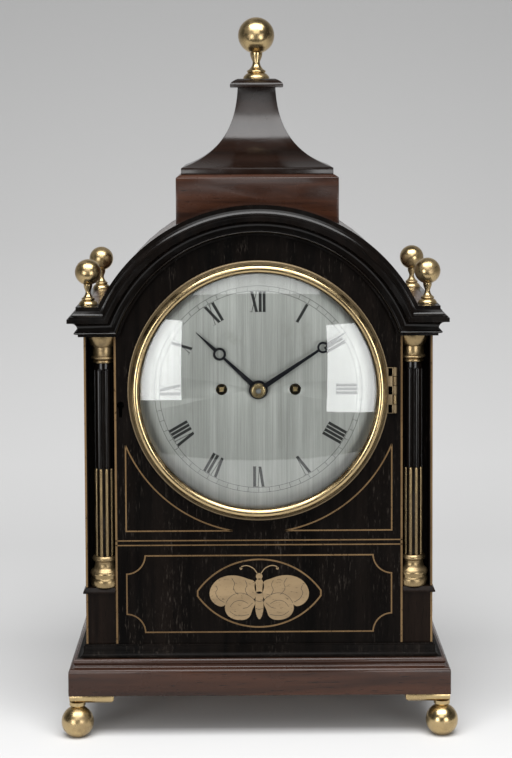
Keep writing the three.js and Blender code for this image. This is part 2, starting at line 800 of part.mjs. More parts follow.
for (const [side, sign] of sides) {
  const end = (reach, rise) => [sign * (sideFace + reach), backFace, corniceBottom + rise];
  const stations = sign < 0 ? [end, corniceCorner(sign)] : [corniceCorner(sign), end];
  add(`side_cornice_${side}`, 'ebonised', sweep(corniceProfile, stations, false));
}

const boxTop = archCentre + boxTopAboveArch;
const bellFoot = boxTop + boxChamferRise;
const bellTop = bellFoot + bellSlabRise + bellRise;

function roofBox() {
  const low = archCentre + Math.sqrt(roofRadius ** 2 - boxHalfWidth ** 2) - boxWall;
  const outer = squareTurned([
    [0, low],
    [boxHalfWidth, low],
    [boxHalfWidth, boxTop],
    [boxHalfWidth - boxChamfer, bellFoot],
    [0, bellFoot],
  ]);
  const innerHalf = boxHalfWidth - boxWall;
  const innerTop = boxTop - boxWall;
  const hollow = squareTurned([[0, low - 1], [innerHalf, low - 1], [innerHalf, innerTop], [0, innerTop]]);
  const barrel = rod(roofRadius + fitGap, frontFace, backFace, 2 * archSegments);
  return cut(outer, hollow, barrel.translate(0, 0, archCentre));
}
add('roof_box', 'mahogany', roofBox());

function bellTopPiece() {
  const slabTop = bellFoot + bellSlabRise;
  const rise = (share) => slabTop + bellRise * share;
  const capShoulder = bellTop + (capEdgeRise + capRise) / 2;
  return squareTurned(pathPoints(new THREE.Path()
    .moveTo(0, bellFoot)
    .lineTo(bellSlabHalfWidth, bellFoot)
    .lineTo(bellSlabHalfWidth, slabTop)
    .bezierCurveTo(bellSlabHalfWidth * 0.59, rise(0.14), bellNeckHalfWidth * 1.1, rise(0.395),
      bellNeckHalfWidth, rise(1))
    .lineTo(capHalfWidth, bellTop)
    .lineTo(capHalfWidth, bellTop + capEdgeRise)
    .quadraticCurveTo(capHalfWidth, capShoulder, bellNeckHalfWidth, bellTop + capRise)
    .lineTo(0, bellTop + capRise), 12));
}
add('bell_top', 'mahogany', bellTopPiece());

// ---------------------------------------------------------------- finials
// Foot, bead, trumpet waist, collar and ball; the radii grow with the ball.
function finial(ballRadius, ballHeight, segments) {
  const stem = ballHeight - ballRadius;
  const r = ballRadius;
  const seat = 0.34; // radius of the collar as a share of the ball
  const start = THREE.MathUtils.radToDeg(Math.acos(seat));
  return turned([
    ...pathPoints(new THREE.Path()
      .moveTo(0, 0)
      .lineTo(r * 0.72, 0)
      .lineTo(r * 0.72, stem * 0.07)
      .quadraticCurveTo(r * 0.62, stem * 0.2, r * 0.46, stem * 0.24)
      .quadraticCurveTo(r * 0.6, stem * 0.31, r * 0.42, stem * 0.37)
      .quadraticCurveTo(r * 0.2, stem * 0.5, r * 0.2, stem * 0.68)
      .lineTo(r * 0.33, stem * 0.92), 2),
    ...arcPoints(0, ballHeight, r, -start, 90, 7),
  ], segments);
}
add('top_finial', 'brass', finial(topBallRadius, topBallHeight, 16).translate(0, 0, bellTop + capRise));
for (const [corner, signX, signY] of corners) {
  const x = signX * (sideFace - cornerFinialInset);
  const y = signY * (trunkDepth / 2 - cornerFinialSetBack);
  const piece = finial(cornerBallRadius, cornerBallHeight, 10);
  add(`finial_${corner}`, 'brass', piece.translate(x, y, shoulderTop));
}

// ---------------------------------------------------------------- dial, bezel, glass
const dialFront = frontFace + dialSetBack;
const dialBack = dialFront + dialThickness;
const platesFront = frontFace + plateSetBack;
const platesFrontBack = platesFront + plateThickness;
const backPlateFront = platesFrontBack + plateSpacing;
const backPlateBack = backPlateFront + plateThickness;
const onDial = (geometry, x = 0, rise = 0) => geometry.translate(x, 0, dialCentre + rise);

function dialPlate() {
  const shape = outlineOf(circlePoints(0, 0, dialHoleRadius - dialClearance, roundSegments));
  roundHole(shape, 0, 0, hourPipeRadius + runGap);
  for (const [, sign] of sides) roundHole(shape, sign * windingOffset, 0, windingHoleRadius);
  const plate = slab(shape, dialFront, dialBack);
  const foot = rod(dialFootRadius, dialBack - dialThickness / 2, platesFront - fitGap, 6);
  const feet = corners.map(([, signX, signZ]) =>
    foot.clone().translate(signX * dialFootOffset, 0, signZ * dialFootRise));
  return onDial(join(plate, ...feet));
}
add('dial_plate', 'silvered', dialPlate());

const glassEdgeFront = frontFace - glassSetForward;
const bezelBack = frontFace - fitGap;
const spigotBack = frontFace + spigotDepth;
const spigotRadius = dialHoleRadius - spigotClearance;
const lipBack = glassEdgeFront - bezelLipThickness;

function bezelRing() {
  const bead = bezelRadius - bezelBeadInset;
  const sight = dialHoleRadius - bezelSightInset;
  const outline = [
    ...arcPoints(bead, lipBack - bezelBeadDrop, bezelBeadRadius, 0, -180, 3),
    [sight, lipBack - bezelSlope],
    [sight, lipBack],
    [glassRadius + fitGap, lipBack],
    [glassRadius + fitGap, spigotBack],
    [spigotRadius, spigotBack],
    [spigotRadius, bezelBack],
    [bezelRadius, bezelBack],
    [bezelRadius, bezelBack - bezelFootRise],
    [bezelRadius - bezelCoveWidth, bezelBack - bezelFootRise - bezelCoveRise],
    [bead + bezelBeadRadius, lipBack - bezelBeadDrop],
  ];
  return turnedInDepth(outline.reverse(), roundSegments);
}

const hingeY = frontFace - hingeStandOff;
const hingeLeafDepth = [hingeY - hingeLeafThickness / 2, hingeY + hingeLeafThickness / 2];
const knuckleEnds = ([low, high]) => [low + knuckleGap, high - knuckleGap];
const onHinge = (geometry) => geometry.translate(hingeOffset, hingeY, 0);

// The bezel's half of the hinge: a plate and the first, third and fifth knuckles, with the pin's bore.
function bezelLeaf() {
  const bore = hingePinRadius + fitGap;
  const plate = block([bezelRadius - bezelBeadInset / 2, hingeOffset - hingeKnuckleRadius - fitGap],
    hingeLeafDepth, knuckleSpan(0, hingeKnuckleCount));
  const knuckles = [0, 2, 4].flatMap((place) => {
    const [low, high] = knuckleEnds(knuckleSpan(place, place + 1));
    const barrel = turned([
      [bore, low], [hingeKnuckleRadius, low], [hingeKnuckleRadius, high], [bore, high], [bore, low],
    ], 10);
    const tab = block([bezelRadius - 1, hingeOffset - bore - fitGap], hingeLeafDepth, [low, high]);
    return [onHinge(barrel), tab];
  });
  return join(plate, ...knuckles);
}

function bezel() {
  const notch = block([-glassRadius - 3, 2 - glassRadius],
    [boltDepth(fitGap)[0], spigotBack + 1], boltLevel(2 * fitGap));
  return cut(join(onDial(bezelRing()), bezelLeaf()), notch);
}
add('bezel', 'brass', bezel());

function domedGlass() {
  const sphere = (glassRadius ** 2 + glassRise ** 2) / (2 * glassRise);
  const half = THREE.MathUtils.radToDeg(Math.asin(glassRadius / sphere));
  const crown = glassEdgeFront - glassRise;
  const outer = arcPoints(0, crown + sphere, sphere, -90, half - 90, 3);
  const inner = outer.map(([r, y]) => [r, y + glassThickness]).reverse();
  return onDial(turnedInDepth([...outer, ...inner], roundSegments));
}
add('bezel_glass', 'glass', domedGlass());

// Fixed half of the hinge: two knuckles on a tang let into the front panel, and the pin through all five.
function bezelHinge() {
  const tangHalf = hingeTangThickness / 2;
  const tang = block([hingeOffset - tangHalf, hingeOffset + tangHalf],
    [hingeY, hingeTangBack], hingeTangLevel(0));
  const solidBarrel = (radius, [low, high]) =>
    onHinge(turned([[0, low], [radius, low], [radius, high], [0, high]], 10));
  const knuckles = [1, 3].map((place) =>
    solidBarrel(hingeKnuckleRadius, knuckleEnds(knuckleSpan(place, place + 1))));
  const [low, high] = knuckleSpan(2, 3);
  const clearing = block([hingeOffset - hingeStandOff, hingeOffset + hingeStandOff],
    [hingeY - hingeStandOff, frontFace - fitGap], [low - knuckleGap, high + knuckleGap]);
  const pin = solidBarrel(hingePinRadius, knuckleSpan(0, hingeKnuckleCount));
  return join(cut(join(tang, ...knuckles), clearing), pin);
}
add('bezel_hinge', 'brass', bezelHinge());

// ---------------------------------------------------------------- hands
const hourHandFront = dialFront - hourHandLift;
const minuteHandFront = hourHandFront - minuteHandLift;

// A pierced ring near the end of a tapering stem, then a pointed tip.
function hand({ length, ringAt, ringRadius, bossRadius, boreRadius, angle, front }) {
  const back = front + handThickness;
  const taper = (fromHalf, from, toHalf, to) => slab(outlineOf([
    [-fromHalf, from], [fromHalf, from], [toHalf, to], [-toHalf, to],
  ]), front, back);
  const washer = (outer, inner, rise) => {
    const shape = outlineOf(circlePoints(0, rise, outer, 14));
    roundHole(shape, 0, rise, inner, 14);
    return slab(shape, front, back);
  };
  const bite = 0.8; // share of each ring's radius from which the stem and the tip start
  const whole = join(
    washer(bossRadius, boreRadius, 0),
    taper(handStemHalf, bossRadius * bite, handNeckHalf, ringAt - ringRadius * bite),
    washer(ringRadius, ringRadius * handRingBoreRatio, ringAt),
    taper(handTipHalf, ringAt + ringRadius * bite, handPointHalf, length),
  );
  return onDial(whole.rotateY(THREE.MathUtils.degToRad(angle)));
}
add('hour_hand', 'blued', hand({
  length: hourHandLength,
  ringAt: hourRingAt,
  ringRadius: hourRingRadius,
  bossRadius: hourBossRadius,
  boreRadius: hourPipeRadius + fitGap,
  angle: hourHandAngle,
  front: hourHandFront,
}));
add('minute_hand', 'blued', hand({
  length: minuteHandLength,
  ringAt: minuteRingAt,
  ringRadius: minuteRingRadius,
  bossRadius: minuteBossRadius,
  boreRadius: minutePipeRadius + fitGap,
  angle: minuteHandAngle,
  front: minuteHandFront,
}));

function handCollet() {
  const bore = centreArborRadius + fitGap;
  const back = minuteHandFront - fitGap;
  const front = minuteHandFront - colletRise;
  return onDial(turnedInDepth([
    [bore, back],
    [bore, front],
    [colletCrownRadius, front + fitGap],
    [colletRadius, front + colletRise / 2],
    [colletRadius, back],
    [bore, back],
  ], 18));
}
add('hand_collet', 'brass', handCollet());

// ---------------------------------------------------------------- motion work
const motionDistance = motionModule * cannonTeeth;
const hourModule = (2 * motionDistance) / (hourPinionTeeth + hourWheelTeeth);
const cannonBack = platesFront - cannonWheelGap;
const cannonPlane = [cannonBack - cannonWheelThickness, cannonBack];
const hourBack = cannonPlane[0] - hourWheelGap;
const hourPlane = [hourBack - hourWheelThickness, hourBack];
const arborEnd = backPlateFront - fitGap;
const arborFront = minuteHandFront - colletRise - runGap;

function wheelShape(teeth, module, phase) {
  const pitchRadius = (module * teeth) / 2;
  const tip = pitchRadius + addendumRatio * module;
  return toothed(teeth, tip, pitchRadius - dedendumRatio * module, phase);
}

add('centre_arbor', 'steel', onDial(join(
  rod(centreArborRadius, arborFront, arborEnd, 12),
  rod(minutePipeRadius, minuteHandFront, cannonPlane[1], 12),
  slab(wheelShape(cannonTeeth, motionModule, 0), ...cannonPlane),
)));

function hourWheel() {
  const wheel = slab(wheelShape(hourWheelTeeth, hourModule, 0.5), ...hourPlane);
  const pipe = rod(hourPipeRadius, hourHandFront, hourPlane[1], 14);
  const bore = rod(minutePipeRadius + fitGap, hourHandFront - 1, hourPlane[1] + 1, 12);
  return onDial(cut(join(wheel, pipe), bore));
}
add('hour_wheel', 'brass', hourWheel());

// The minute wheel's bore is blind, so its pinion closes the front of the stud.
const boreFront = cannonPlane[0] + cannonWheelThickness / 2;
function minuteWheel() {
  const wheel = slab(wheelShape(cannonTeeth, motionModule, 0.5), ...cannonPlane);
  const pinion = slab(wheelShape(hourPinionTeeth, hourModule, 0), hourPlane[0], boreFront - fitGap);
  const bore = rod(studRadius + fitGap, boreFront, platesFront, 10);
  return onDial(cut(join(wheel, pinion), bore), 0, -motionDistance);
}
add('minute_wheel', 'brass', minuteWheel());

// ---------------------------------------------------------------- movement plates and train
const plateTop = dialCentre + plateTopAboveDial;
const plateFoot = plateTop - plateRise;

function plateShape(holes) {
  const half = plateWidth / 2;
  const shape = outlineOf([[-half, plateFoot], [half, plateFoot], [half, plateTop], [-half, plateTop]]);
  for (const [x, rise, radius] of holes) roundHole(shape, x, dialCentre + rise, radius);
  return shape;
}

const frontHoles = [
  [0, 0, centreArborRadius + fitGap],
  ...sides.map(([, sign]) => [sign * windingOffset, 0, fuseeArborRadius + fitGap]),
];
const stud = onDial(rod(studRadius, boreFront + fitGap, platesFront + 1, 10), 0, -motionDistance);
add('movement_front_plate', 'brass',
  join(slab(plateShape(frontHoles), platesFront, platesFrontBack), stud));

const pillar = rod(pillarRadius, platesFrontBack + fitGap, backPlateFront + 1, 10);
const pillars = [-1, 1].flatMap((sign) => [plateFoot + pillarInset, plateTop - pillarInset].map((z) =>
  pillar.clone().translate(sign * (plateWidth / 2 - pillarInset), 0, z)));
const crutchHole = [0, anchorAboveDial, crutchHoleRadius];
add('movement_back_plate', 'brass',
  join(slab(plateShape([crutchHole]), backPlateFront, backPlateBack), ...pillars));

const seatHalf = sideFace - panelThickness - fitGap;
const seatTop = plateFoot - fitGap;
add('seat_board', 'innerWood', block([-seatHalf, seatHalf],
  [postBack + fitGap, backPlateBack + seatBoardOverhang], [seatTop - seatBoardThickness, seatTop]));

// Fusee: a grooved cone on the winding arbor, with the great wheel at its wide end.
function fusee(x) {
  const wheelFront = platesFrontBack + greatWheelGap;
  const wheelBack = wheelFront + greatWheelThickness;
  const steps = 2 * fuseeTurns;
  const grooves = Array.from({ length: steps + 1 }, (_, i) => {
    const share = i / steps;
    const radius = fuseeLargeRadius + (fuseeSmallRadius - fuseeLargeRadius) * Math.sqrt(share);
    return [radius - (i % 2) * fuseeGrooveDepth, wheelBack + fuseeLength * share];
  });
  const cone = turnedInDepth([
    [0, wheelFront],
    [fuseeLargeRadius, wheelFront],
    ...grooves,
    [0, wheelBack + fuseeLength],
  ], 10);
  const teeth = toothed(greatWheelTeeth, greatWheelRadius, greatWheelRadius - greatWheelToothDepth);
  const squareFront = dialFront + windingSquareSetBack;
  const squareBack = platesFront - windingSquareGap;
  const half = windingSquareWidth / 2;
  const square = block([-half, half], [squareFront, squareBack + 1], [-half, half]);
  const arbor = rod(fuseeArborRadius, squareBack, arborEnd, 10);
  return onDial(join(cone, slab(teeth, wheelFront, wheelBack), arbor, square), x);
}
add('going_fusee', 'brass', fusee(windingOffset));
add('strike_fusee', 'brass', fusee(-windingOffset));

function barrel(x) {
  const front = platesFrontBack + barrelGap;
  const back = front + barrelLength;
  const rim = barrelRadius + barrelRimReach;
  const drum = turnedInDepth([
    [0, front],
    [rim, front],
    [rim, front + barrelRimThickness],
    [barrelRadius, front + barrelRimThickness],
    [barrelRadius, back - barrelRimThickness],
    [rim, back - barrelRimThickness],
    [rim, back],
    [0, back],
  ], 14);
  const arbor = rod(barrelArborRadius, platesFrontBack + fitGap, arborEnd, 8);
  return onDial(join(drum, arbor), x, -barrelDrop);
}
add('going_barrel', 'brass', barrel(barrelOffset));
add('strike_barrel', 'brass', barrel(-barrelOffset));

// ---------------------------------------------------------------- escapement and pendulum
const escapeBack = backPlateFront - escapeGap;
const escapePlane = [escapeBack - escapeThickness, escapeBack];

// Spoked wheel on its arbor; each opening between two spokes narrows towards the hub.
function escapeWheel() {
  const root = escapeRadius - escapeToothDepth;
  const shape = toothed(escapeTeeth, escapeRadius, root, 0, escapeToothLeanRatio);
  const spokeRim = 8;
  const spokeHub = 18;
  const share = 360 / escapeSpokes;
  for (let i = 0; i < escapeSpokes; i += 1) {
    const [start, end] = [i * share, (i + 1) * share];
    shape.holes.push(outlineOf([
      ...arcPoints(0, 0, escapeRimRadius, start + spokeRim, end - spokeRim, 3),
      ...arcPoints(0, 0, escapeHubRadius, end - spokeHub, start + spokeHub, 1),
    ]));
  }
  return onDial(join(
    slab(shape, ...escapePlane),
    rod(escapeArborRadius, platesFrontBack + fitGap, arborEnd, 8),
    rod(escapeColletRadius, escapePlane[0] - escapeThickness, escapePlane[1], 10),
  ), 0, escapeAboveDial);
}
add('escape_wheel', 'brass', escapeWheel());

const pendulumY = backPlateBack + pendulumBehindPlate;
const cockFront = backPlateBack + cockGap;
const cockBack = cockFront + cockThickness;
const mirrored = (half) => [...half, ...half.map(([x, z]) => [-x, z]).reverse()];

// Anchor about its own arbor: two arms with pallets, the arbor and the crutch that drives the pendulum.
function anchor() {
  const span = escapeRadius * Math.SQRT1_2;
  const palletFoot = span + escapeAboveDial - anchorAboveDial + palletClearance;
  const armTop = palletFoot + palletDepth;
  const body = slab(outlineOf(mirrored([
    [0, anchorHubHalf],
    [anchorHubHalf - 1, anchorHubHalf - 1],
    [span + palletReach, armTop],
    [span + palletReach, palletFoot],
    [span + 1, palletFoot],
    [span - 1, armTop - anchorArmDepth],
    [anchorHubHalf - 2, 2 - anchorHubHalf],
  ])), escapePlane[0] - anchorMargin, escapePlane[1] + anchorMargin);
  const crutchDepth = [backPlateBack + crutchGap, backPlateBack + crutchGap + crutchThickness];
  const forkLevel = [-crutchDrop, crutchForkRise - crutchDrop];
  const prongInner = pendulumRodRadius + crutchForkGap;
  const prongOuter = prongInner + crutchProngWidth;
  const prongDepth = [crutchDepth[0], pendulumY + crutchForkOverhang];
  return onDial(join(
    body,
    rod(anchorArborRadius, platesFrontBack + fitGap, cockFront - fitGap, 8),
    block([-crutchHalf, crutchHalf], crutchDepth, [-crutchDrop, anchorArborRadius + 1]),
    block([-prongOuter, prongOuter], crutchDepth, forkLevel),
    block([prongInner, prongOuter], prongDepth, forkLevel),
    block([-prongOuter, -prongInner], prongDepth, forkLevel),
  ), 0, anchorAboveDial);
}
add('anchor', 'steel', anchor());

// Back cock: a bridge over the crutch that carries the arbor and the pendulum's suspension stud.
function backCock() {
  const level = [-cockDrop, cockRise];
  const legDepth = [backPlateBack + fitGap, cockBack];
  const legInner = cockHalf - cockLegWidth;
  const studFoot = suspensionRise - suspensionStudDepth;
  return onDial(join(
    block([-cockHalf, cockHalf], [cockFront, cockBack], level),
    block([legInner, cockHalf], legDepth, level),
    block([-cockHalf, -legInner], legDepth, level),
    block([-suspensionHalf, suspensionHalf], [cockFront, cockBack], [0, suspensionRise]),
    block([-suspensionStudHalf, suspensionStudHalf], [cockFront, pendulumY + suspensionStudOverhang],
      [studFoot, suspensionRise]),
  ), 0, anchorAboveDial);
}
add('back_cock', 'brass', backCock());

// Suspension spring, block, rod, lens-shaped bob and rating nut, from the stud of the cock downwards.
function pendulum() {
  const springTop = suspensionRise - suspensionStudDepth - fitGap;
  const blockTop = -suspensionSpringDrop;
  const rodFoot = -pendulumLength - bobRadius - pendulumRodTail;
  const nutTop = -pendulumLength - bobRadius;
  const half = bobThickness / 2;
  const around = (geometry) => geometry.translate(0, pendulumY, 0);
  const flat = (halfWidth, thickness, level) =>
    around(block([-halfWidth, halfWidth], [-thickness / 2, thickness / 2], level));
  const bob = turnedInDepth([
    [0, -half],
    [bobRadius * 0.55, -half * 0.86],
    [bobRadius * 0.9, -half * 0.45],
    [bobRadius, 0],
    [bobRadius * 0.9, half * 0.45],
    [bobRadius * 0.55, half * 0.86],
    [0, half],
  ], 20);
  const upright = (radius, low, high, segments) =>
    around(turned([[0, low], [radius, low], [radius, high], [0, high]], segments));
  return onDial(join(
    flat(suspensionSpringHalf, suspensionSpringThickness, [blockTop - 1, springTop]),
    flat(pendulumBlockHalf, pendulumBlockThickness, [blockTop - pendulumBlockRise, blockTop]),
    upright(pendulumRodRadius, rodFoot, blockTop - 1, 8),
    around(bob).translate(0, 0, -pendulumLength),
    upright(ratingNutRadius, nutTop - ratingNutRise, nutTop, 12),
  ), 0, anchorAboveDial);
}
add('pendulum', 'brass', pendulum());

// ---------------------------------------------------------------- bell and hammer
const bellY = (platesFrontBack + backPlateFront) / 2;
const bellMouth = plateTop + bellAbovePlates;

// Bell on a post, which stands on a strap across the tops of the two plates.
function bell() {
  const crown = bellMouth + bellHeight;
  const quarter = arcPoints(0, 0, 1, 90, 0, 4);
  const shell = (radius, height) =>
    quarter.map(([across, up]) => [radius * across, bellMouth + height * up]);
  const dome = turned([
    ...shell(bellRadius - bellWall, bellHeight - bellWall),
    ...shell(bellRadius, bellHeight).reverse(),
  ], 16);
  const upright = (radius, low, high) => turned([[0, low], [radius, low], [radius, high], [0, high]], 10);
  const strapTop = plateTop + fitGap + bellStrapThickness;
  return join(
    dome,
    upright(bellPostRadius, strapTop - 1, crown - 1),
    block([-bellStrapHalf, bellStrapHalf], [platesFront - bellY, backPlateBack - bellY],
      [plateTop + fitGap, strapTop]),
    upright(bellNutRadius, crown - 1, crown + bellNutRise),
  ).translate(0, bellY, 0);
}
add('bell', 'brass', bell());

function hammer() {
  const headRise = bellMouth + hammerHeadRise - dialCentre - hammerAboveDial;
  const headX = bellRadius + hammerHeadGap - hammerOffset;
  const armMiddle = headX + hammerHeadLength / 2;
  const arm = slab(outlineOf([
    [-hammerArmHalf, -hammerArmHalf],
    [hammerArmHalf, -hammerArmHalf],
    [armMiddle + hammerArmHalf / 2, headRise],
    [armMiddle - hammerArmHalf / 2, headRise],
  ]), bellY - hammerArmThickness / 2, bellY + hammerArmThickness / 2);
  const head = rod(hammerHeadRadius, 0, hammerHeadLength, 12).rotateZ(-Math.PI / 2);
  return onDial(join(
    arm,
    head.translate(headX, bellY, headRise),
    rod(hammerArborRadius, platesFrontBack + fitGap, arborEnd, 8),
  ), hammerOffset, hammerAboveDial);
}
add('hammer', 'steel', hammer());

// ---------------------------------------------------------------- back frame and door
const doorHalfWidth = sideFace - doorInset;
const doorFoot = trunkBottom + doorBottomAboveTrunk;
const archedOutline = (half, foot) => outlineOf([
  [-half, foot], [half, foot], ...arcPoints(0, archCentre, half, 0, 180, 18),
]);

function backFrame() {
  const shape = outlineOf([
    [-sideFace, trunkBottom],
    [sideFace, trunkBottom],
    [sideFace, shoulderTop],
    ...roofArc,
    [-sideFace, shoulderTop],
  ]);
  shape.holes.push(archedOutline(doorHalfWidth + runGap, doorFoot - runGap));
  return slab(shape, backInner, backFace);
}
add('back_frame', 'ebonised', backFrame());

const doorInner = backFace - doorThickness;
const doorHingeX = doorHalfWidth + runGap / 2;
const doorHingeY = backFace + doorHingeRadius + fitGap;
const sightHalf = doorHalfWidth - doorRail;

// The opening of the door widened by a margin, with its foot let down as far.
const sightOutline = (margin) => archedOutline(sightHalf + margin, doorFoot + doorRail - margin);

function backDoor() {
  const shape = archedOutline(doorHalfWidth, doorFoot);
  shape.holes.push(sightOutline(0));
  const frame = slab(shape, doorInner, backFace);
  const rebate = slab(sightOutline(doorRebateWidth), doorInner - 1, doorInner + doorRebateDepth);
  const hingeLeaf = (z) => {
    const [low, high] = [z - doorHingeHalf, z + doorHingeHalf];
    const barrel = turned([[0, low], [doorHingeRadius, low], [doorHingeRadius, high], [0, high]], 10);
    return [
      barrel.translate(doorHingeX, doorHingeY, 0),
      block([doorHalfWidth - doorLeafWidth, doorHingeX],
        [backFace - doorLeafThickness / 2, backFace + doorLeafThickness], [low, high]),
    ];
  };
  const hinges = [doorFoot + doorHingeInset, archCentre - doorHingeInset].flatMap(hingeLeaf);
  return join(cut(frame, rebate), ...hinges);
}
add('back_door', 'ebonised', backDoor());

const paneBack = doorInner + doorRebateDepth - fitGap;
add('back_door_glass', 'glass',
  slab(sightOutline(doorRebateWidth - fitGap), paneBack - doorGlassThickness, paneBack));

// Turned knob: foot, neck and head, in shares of its radius and reach.
const knobProfile = [
  [0, 0], [0.56, 0], [0.4, 0.2], [0.4, 0.36], [0.92, 0.57], [1, 0.75], [0.74, 0.93], [0, 1],
].map(([across, out]) => [across * doorKnobRadius, out * doorKnobReach]);
add('back_door_knob', 'brass', turnedInDepth(knobProfile, 12)
  .translate(-(doorHalfWidth - doorRail / 2), backFace, archCentre - doorKnobDrop));

export default clock;
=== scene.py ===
# %% [markdown]
# # An arched bracket clock
#
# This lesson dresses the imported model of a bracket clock. The wooden case, the movement and their
# joints come from the model and stay where they are. Each step below either gives such a node a
# finish, or models a finer piece that stands for it.

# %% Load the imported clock
import json
import math
import bpy
from mathutils import Matrix, Vector

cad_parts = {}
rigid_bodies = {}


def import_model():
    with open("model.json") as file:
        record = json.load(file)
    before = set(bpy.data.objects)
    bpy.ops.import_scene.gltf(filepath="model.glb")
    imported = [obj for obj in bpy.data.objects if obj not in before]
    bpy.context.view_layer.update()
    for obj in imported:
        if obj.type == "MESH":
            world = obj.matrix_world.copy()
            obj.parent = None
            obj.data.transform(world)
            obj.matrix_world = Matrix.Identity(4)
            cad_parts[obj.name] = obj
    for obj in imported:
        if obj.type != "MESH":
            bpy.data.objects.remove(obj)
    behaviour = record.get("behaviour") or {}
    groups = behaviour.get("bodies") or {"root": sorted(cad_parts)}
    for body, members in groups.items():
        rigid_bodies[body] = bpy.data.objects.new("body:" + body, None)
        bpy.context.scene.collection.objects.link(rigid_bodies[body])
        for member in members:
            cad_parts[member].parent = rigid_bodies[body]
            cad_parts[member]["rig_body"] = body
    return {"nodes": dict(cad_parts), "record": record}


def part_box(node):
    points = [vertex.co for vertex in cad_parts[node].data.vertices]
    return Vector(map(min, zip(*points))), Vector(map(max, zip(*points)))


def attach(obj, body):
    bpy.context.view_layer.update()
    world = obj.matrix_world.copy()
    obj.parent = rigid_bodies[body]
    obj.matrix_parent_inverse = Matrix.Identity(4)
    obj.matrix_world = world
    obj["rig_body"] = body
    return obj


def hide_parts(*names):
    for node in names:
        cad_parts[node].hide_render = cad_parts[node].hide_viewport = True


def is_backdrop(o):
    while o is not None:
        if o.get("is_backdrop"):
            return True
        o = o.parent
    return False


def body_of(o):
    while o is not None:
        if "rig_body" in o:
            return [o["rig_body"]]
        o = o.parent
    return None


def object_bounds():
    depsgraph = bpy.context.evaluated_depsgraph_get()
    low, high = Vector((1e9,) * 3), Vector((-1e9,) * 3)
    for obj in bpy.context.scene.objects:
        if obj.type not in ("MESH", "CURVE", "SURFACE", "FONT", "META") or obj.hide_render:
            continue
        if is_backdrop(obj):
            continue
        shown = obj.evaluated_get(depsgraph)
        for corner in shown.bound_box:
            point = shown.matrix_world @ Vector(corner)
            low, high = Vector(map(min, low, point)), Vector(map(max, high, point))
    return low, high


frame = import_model()
cad_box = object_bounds()
MM = 0.001

# %% [markdown]
# ## What the pieces are measured from
#
# Every place below comes from the boxes of the nodes, so a piece sits on what carries it. Sizes
# that no node shows, such as the width of a line of stringing, are named where they are used.

# %% Measure the nodes
def low(node):
    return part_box(node)[0]


def high(node):
    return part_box(node)[1]


front_face = low("front_panel").y
side_face = high("front_panel").x
trunk_bottom = low("front_panel").z
cornice_bottom = low("front_cornice").z
cornice_rise = high("side_cornice_left").z - cornice_bottom
cornice_reach = front_face - low("front_cornice").y
dial_centre = (low("bezel_glass").z + high("bezel_glass").z) / 2
bezel_radius = -low("bezel").x
panel_half = low("pedestal_right").x - 0.3 * MM
arch_centre = dial_centre + 8 * MM
print("dial centre", round(dial_centre / MM, 1), "mm, panel half", round(panel_half / MM, 1), "mm")

# %% [markdown]
# ## The camera
#
# The clock was seen from a little above and straight in front, with a long lens, and its uprights
# stay parallel. A pure vertical shift would do that, but the shift is kept in every other view, so
# half of it is given by a slight tilt instead. The vanishing point of the depth lines fixes the
# height of the camera, and the width of the plinth fixes its distance.

# %% Place the camera
IMAGE_HEIGHT, SENSOR = 758, 36  # pixels and mm
camera_height = 506.4 * MM
camera_distance = 1550 * MM  # from the front of the plinth
camera_aside = -10.7 * MM
yaw = math.radians(0.34)
pitch = math.radians(3.7)
roll = math.radians(-0.25)
focal_pixels = 1942
axis_row = 239
plinth_front = low("plinth").y

camera_data = bpy.data.cameras.new("camera")
camera_data.sensor_width = SENSOR
camera_data.lens = focal_pixels * SENSOR / IMAGE_HEIGHT
camera_data.shift_y = (axis_row - IMAGE_HEIGHT / 2) / IMAGE_HEIGHT
camera_data.clip_start = 0.05
camera = bpy.data.objects.new("camera", camera_data)
bpy.context.collection.objects.link(camera)
camera.location = (camera_aside, plinth_front - camera_distance, camera_height)
heading = Matrix.Rotation(-yaw, 4, "Z")
tilt = Matrix.Rotation(math.pi / 2 - pitch, 4, "X")
camera.rotation_euler = (heading @ tilt @ Matrix.Rotation(roll, 4, "Z")).to_euler()
bpy.context.scene.camera = camera
print("lens", round(camera_data.lens, 1), "mm, shift", round(camera_data.shift_y, 3))

# %% [markdown]
# ## Modelling by hand
#
# Each new piece starts as a primitive and is shaped with edit mode operators. A circle with as many
# vertices as an outline has points can be pulled to any section. The section is then extruded for
# flat work, or spun for turned work, as a joiner and a turner would do it.

# %% Helpers for selecting and finishing
def nothing_selected():
    if bpy.context.object and bpy.context.object.mode != "OBJECT":
        bpy.ops.object.mode_set(mode="OBJECT")
    bpy.ops.object.select_all(action="DESELECT")


def hold(piece):
    nothing_selected()
    piece.select_set(True)
    bpy.context.view_layer.objects.active = piece


def edit_all(piece, mode="VERT"):
    hold(piece)
    bpy.ops.object.mode_set(mode="EDIT")
    bpy.ops.mesh.select_mode(type=mode)
    bpy.ops.mesh.select_all(action="SELECT")


def leave_edit():
    bpy.ops.object.mode_set(mode="OBJECT")


def primitive(kind, name, **settings):
    nothing_selected()
    getattr(bpy.ops.mesh, f"primitive_{kind}_add")(**settings)
    piece = bpy.context.object
    piece.name = piece.data.name = name
    return piece


def placed(piece, points):
    """Pulls the vertices of a primitive to the points."""
    for vertex, point in zip(piece.data.vertices, points):
        vertex.co = point
    return piece


def drawn(name, points, filled=True):
    """A closed outline: a circle whose vertices are pulled to the points."""
    fill = "NGON" if filled else "NOTHING"
    return placed(primitive("circle", name, vertices=len(points), radius=MM, fill_type=fill), points)


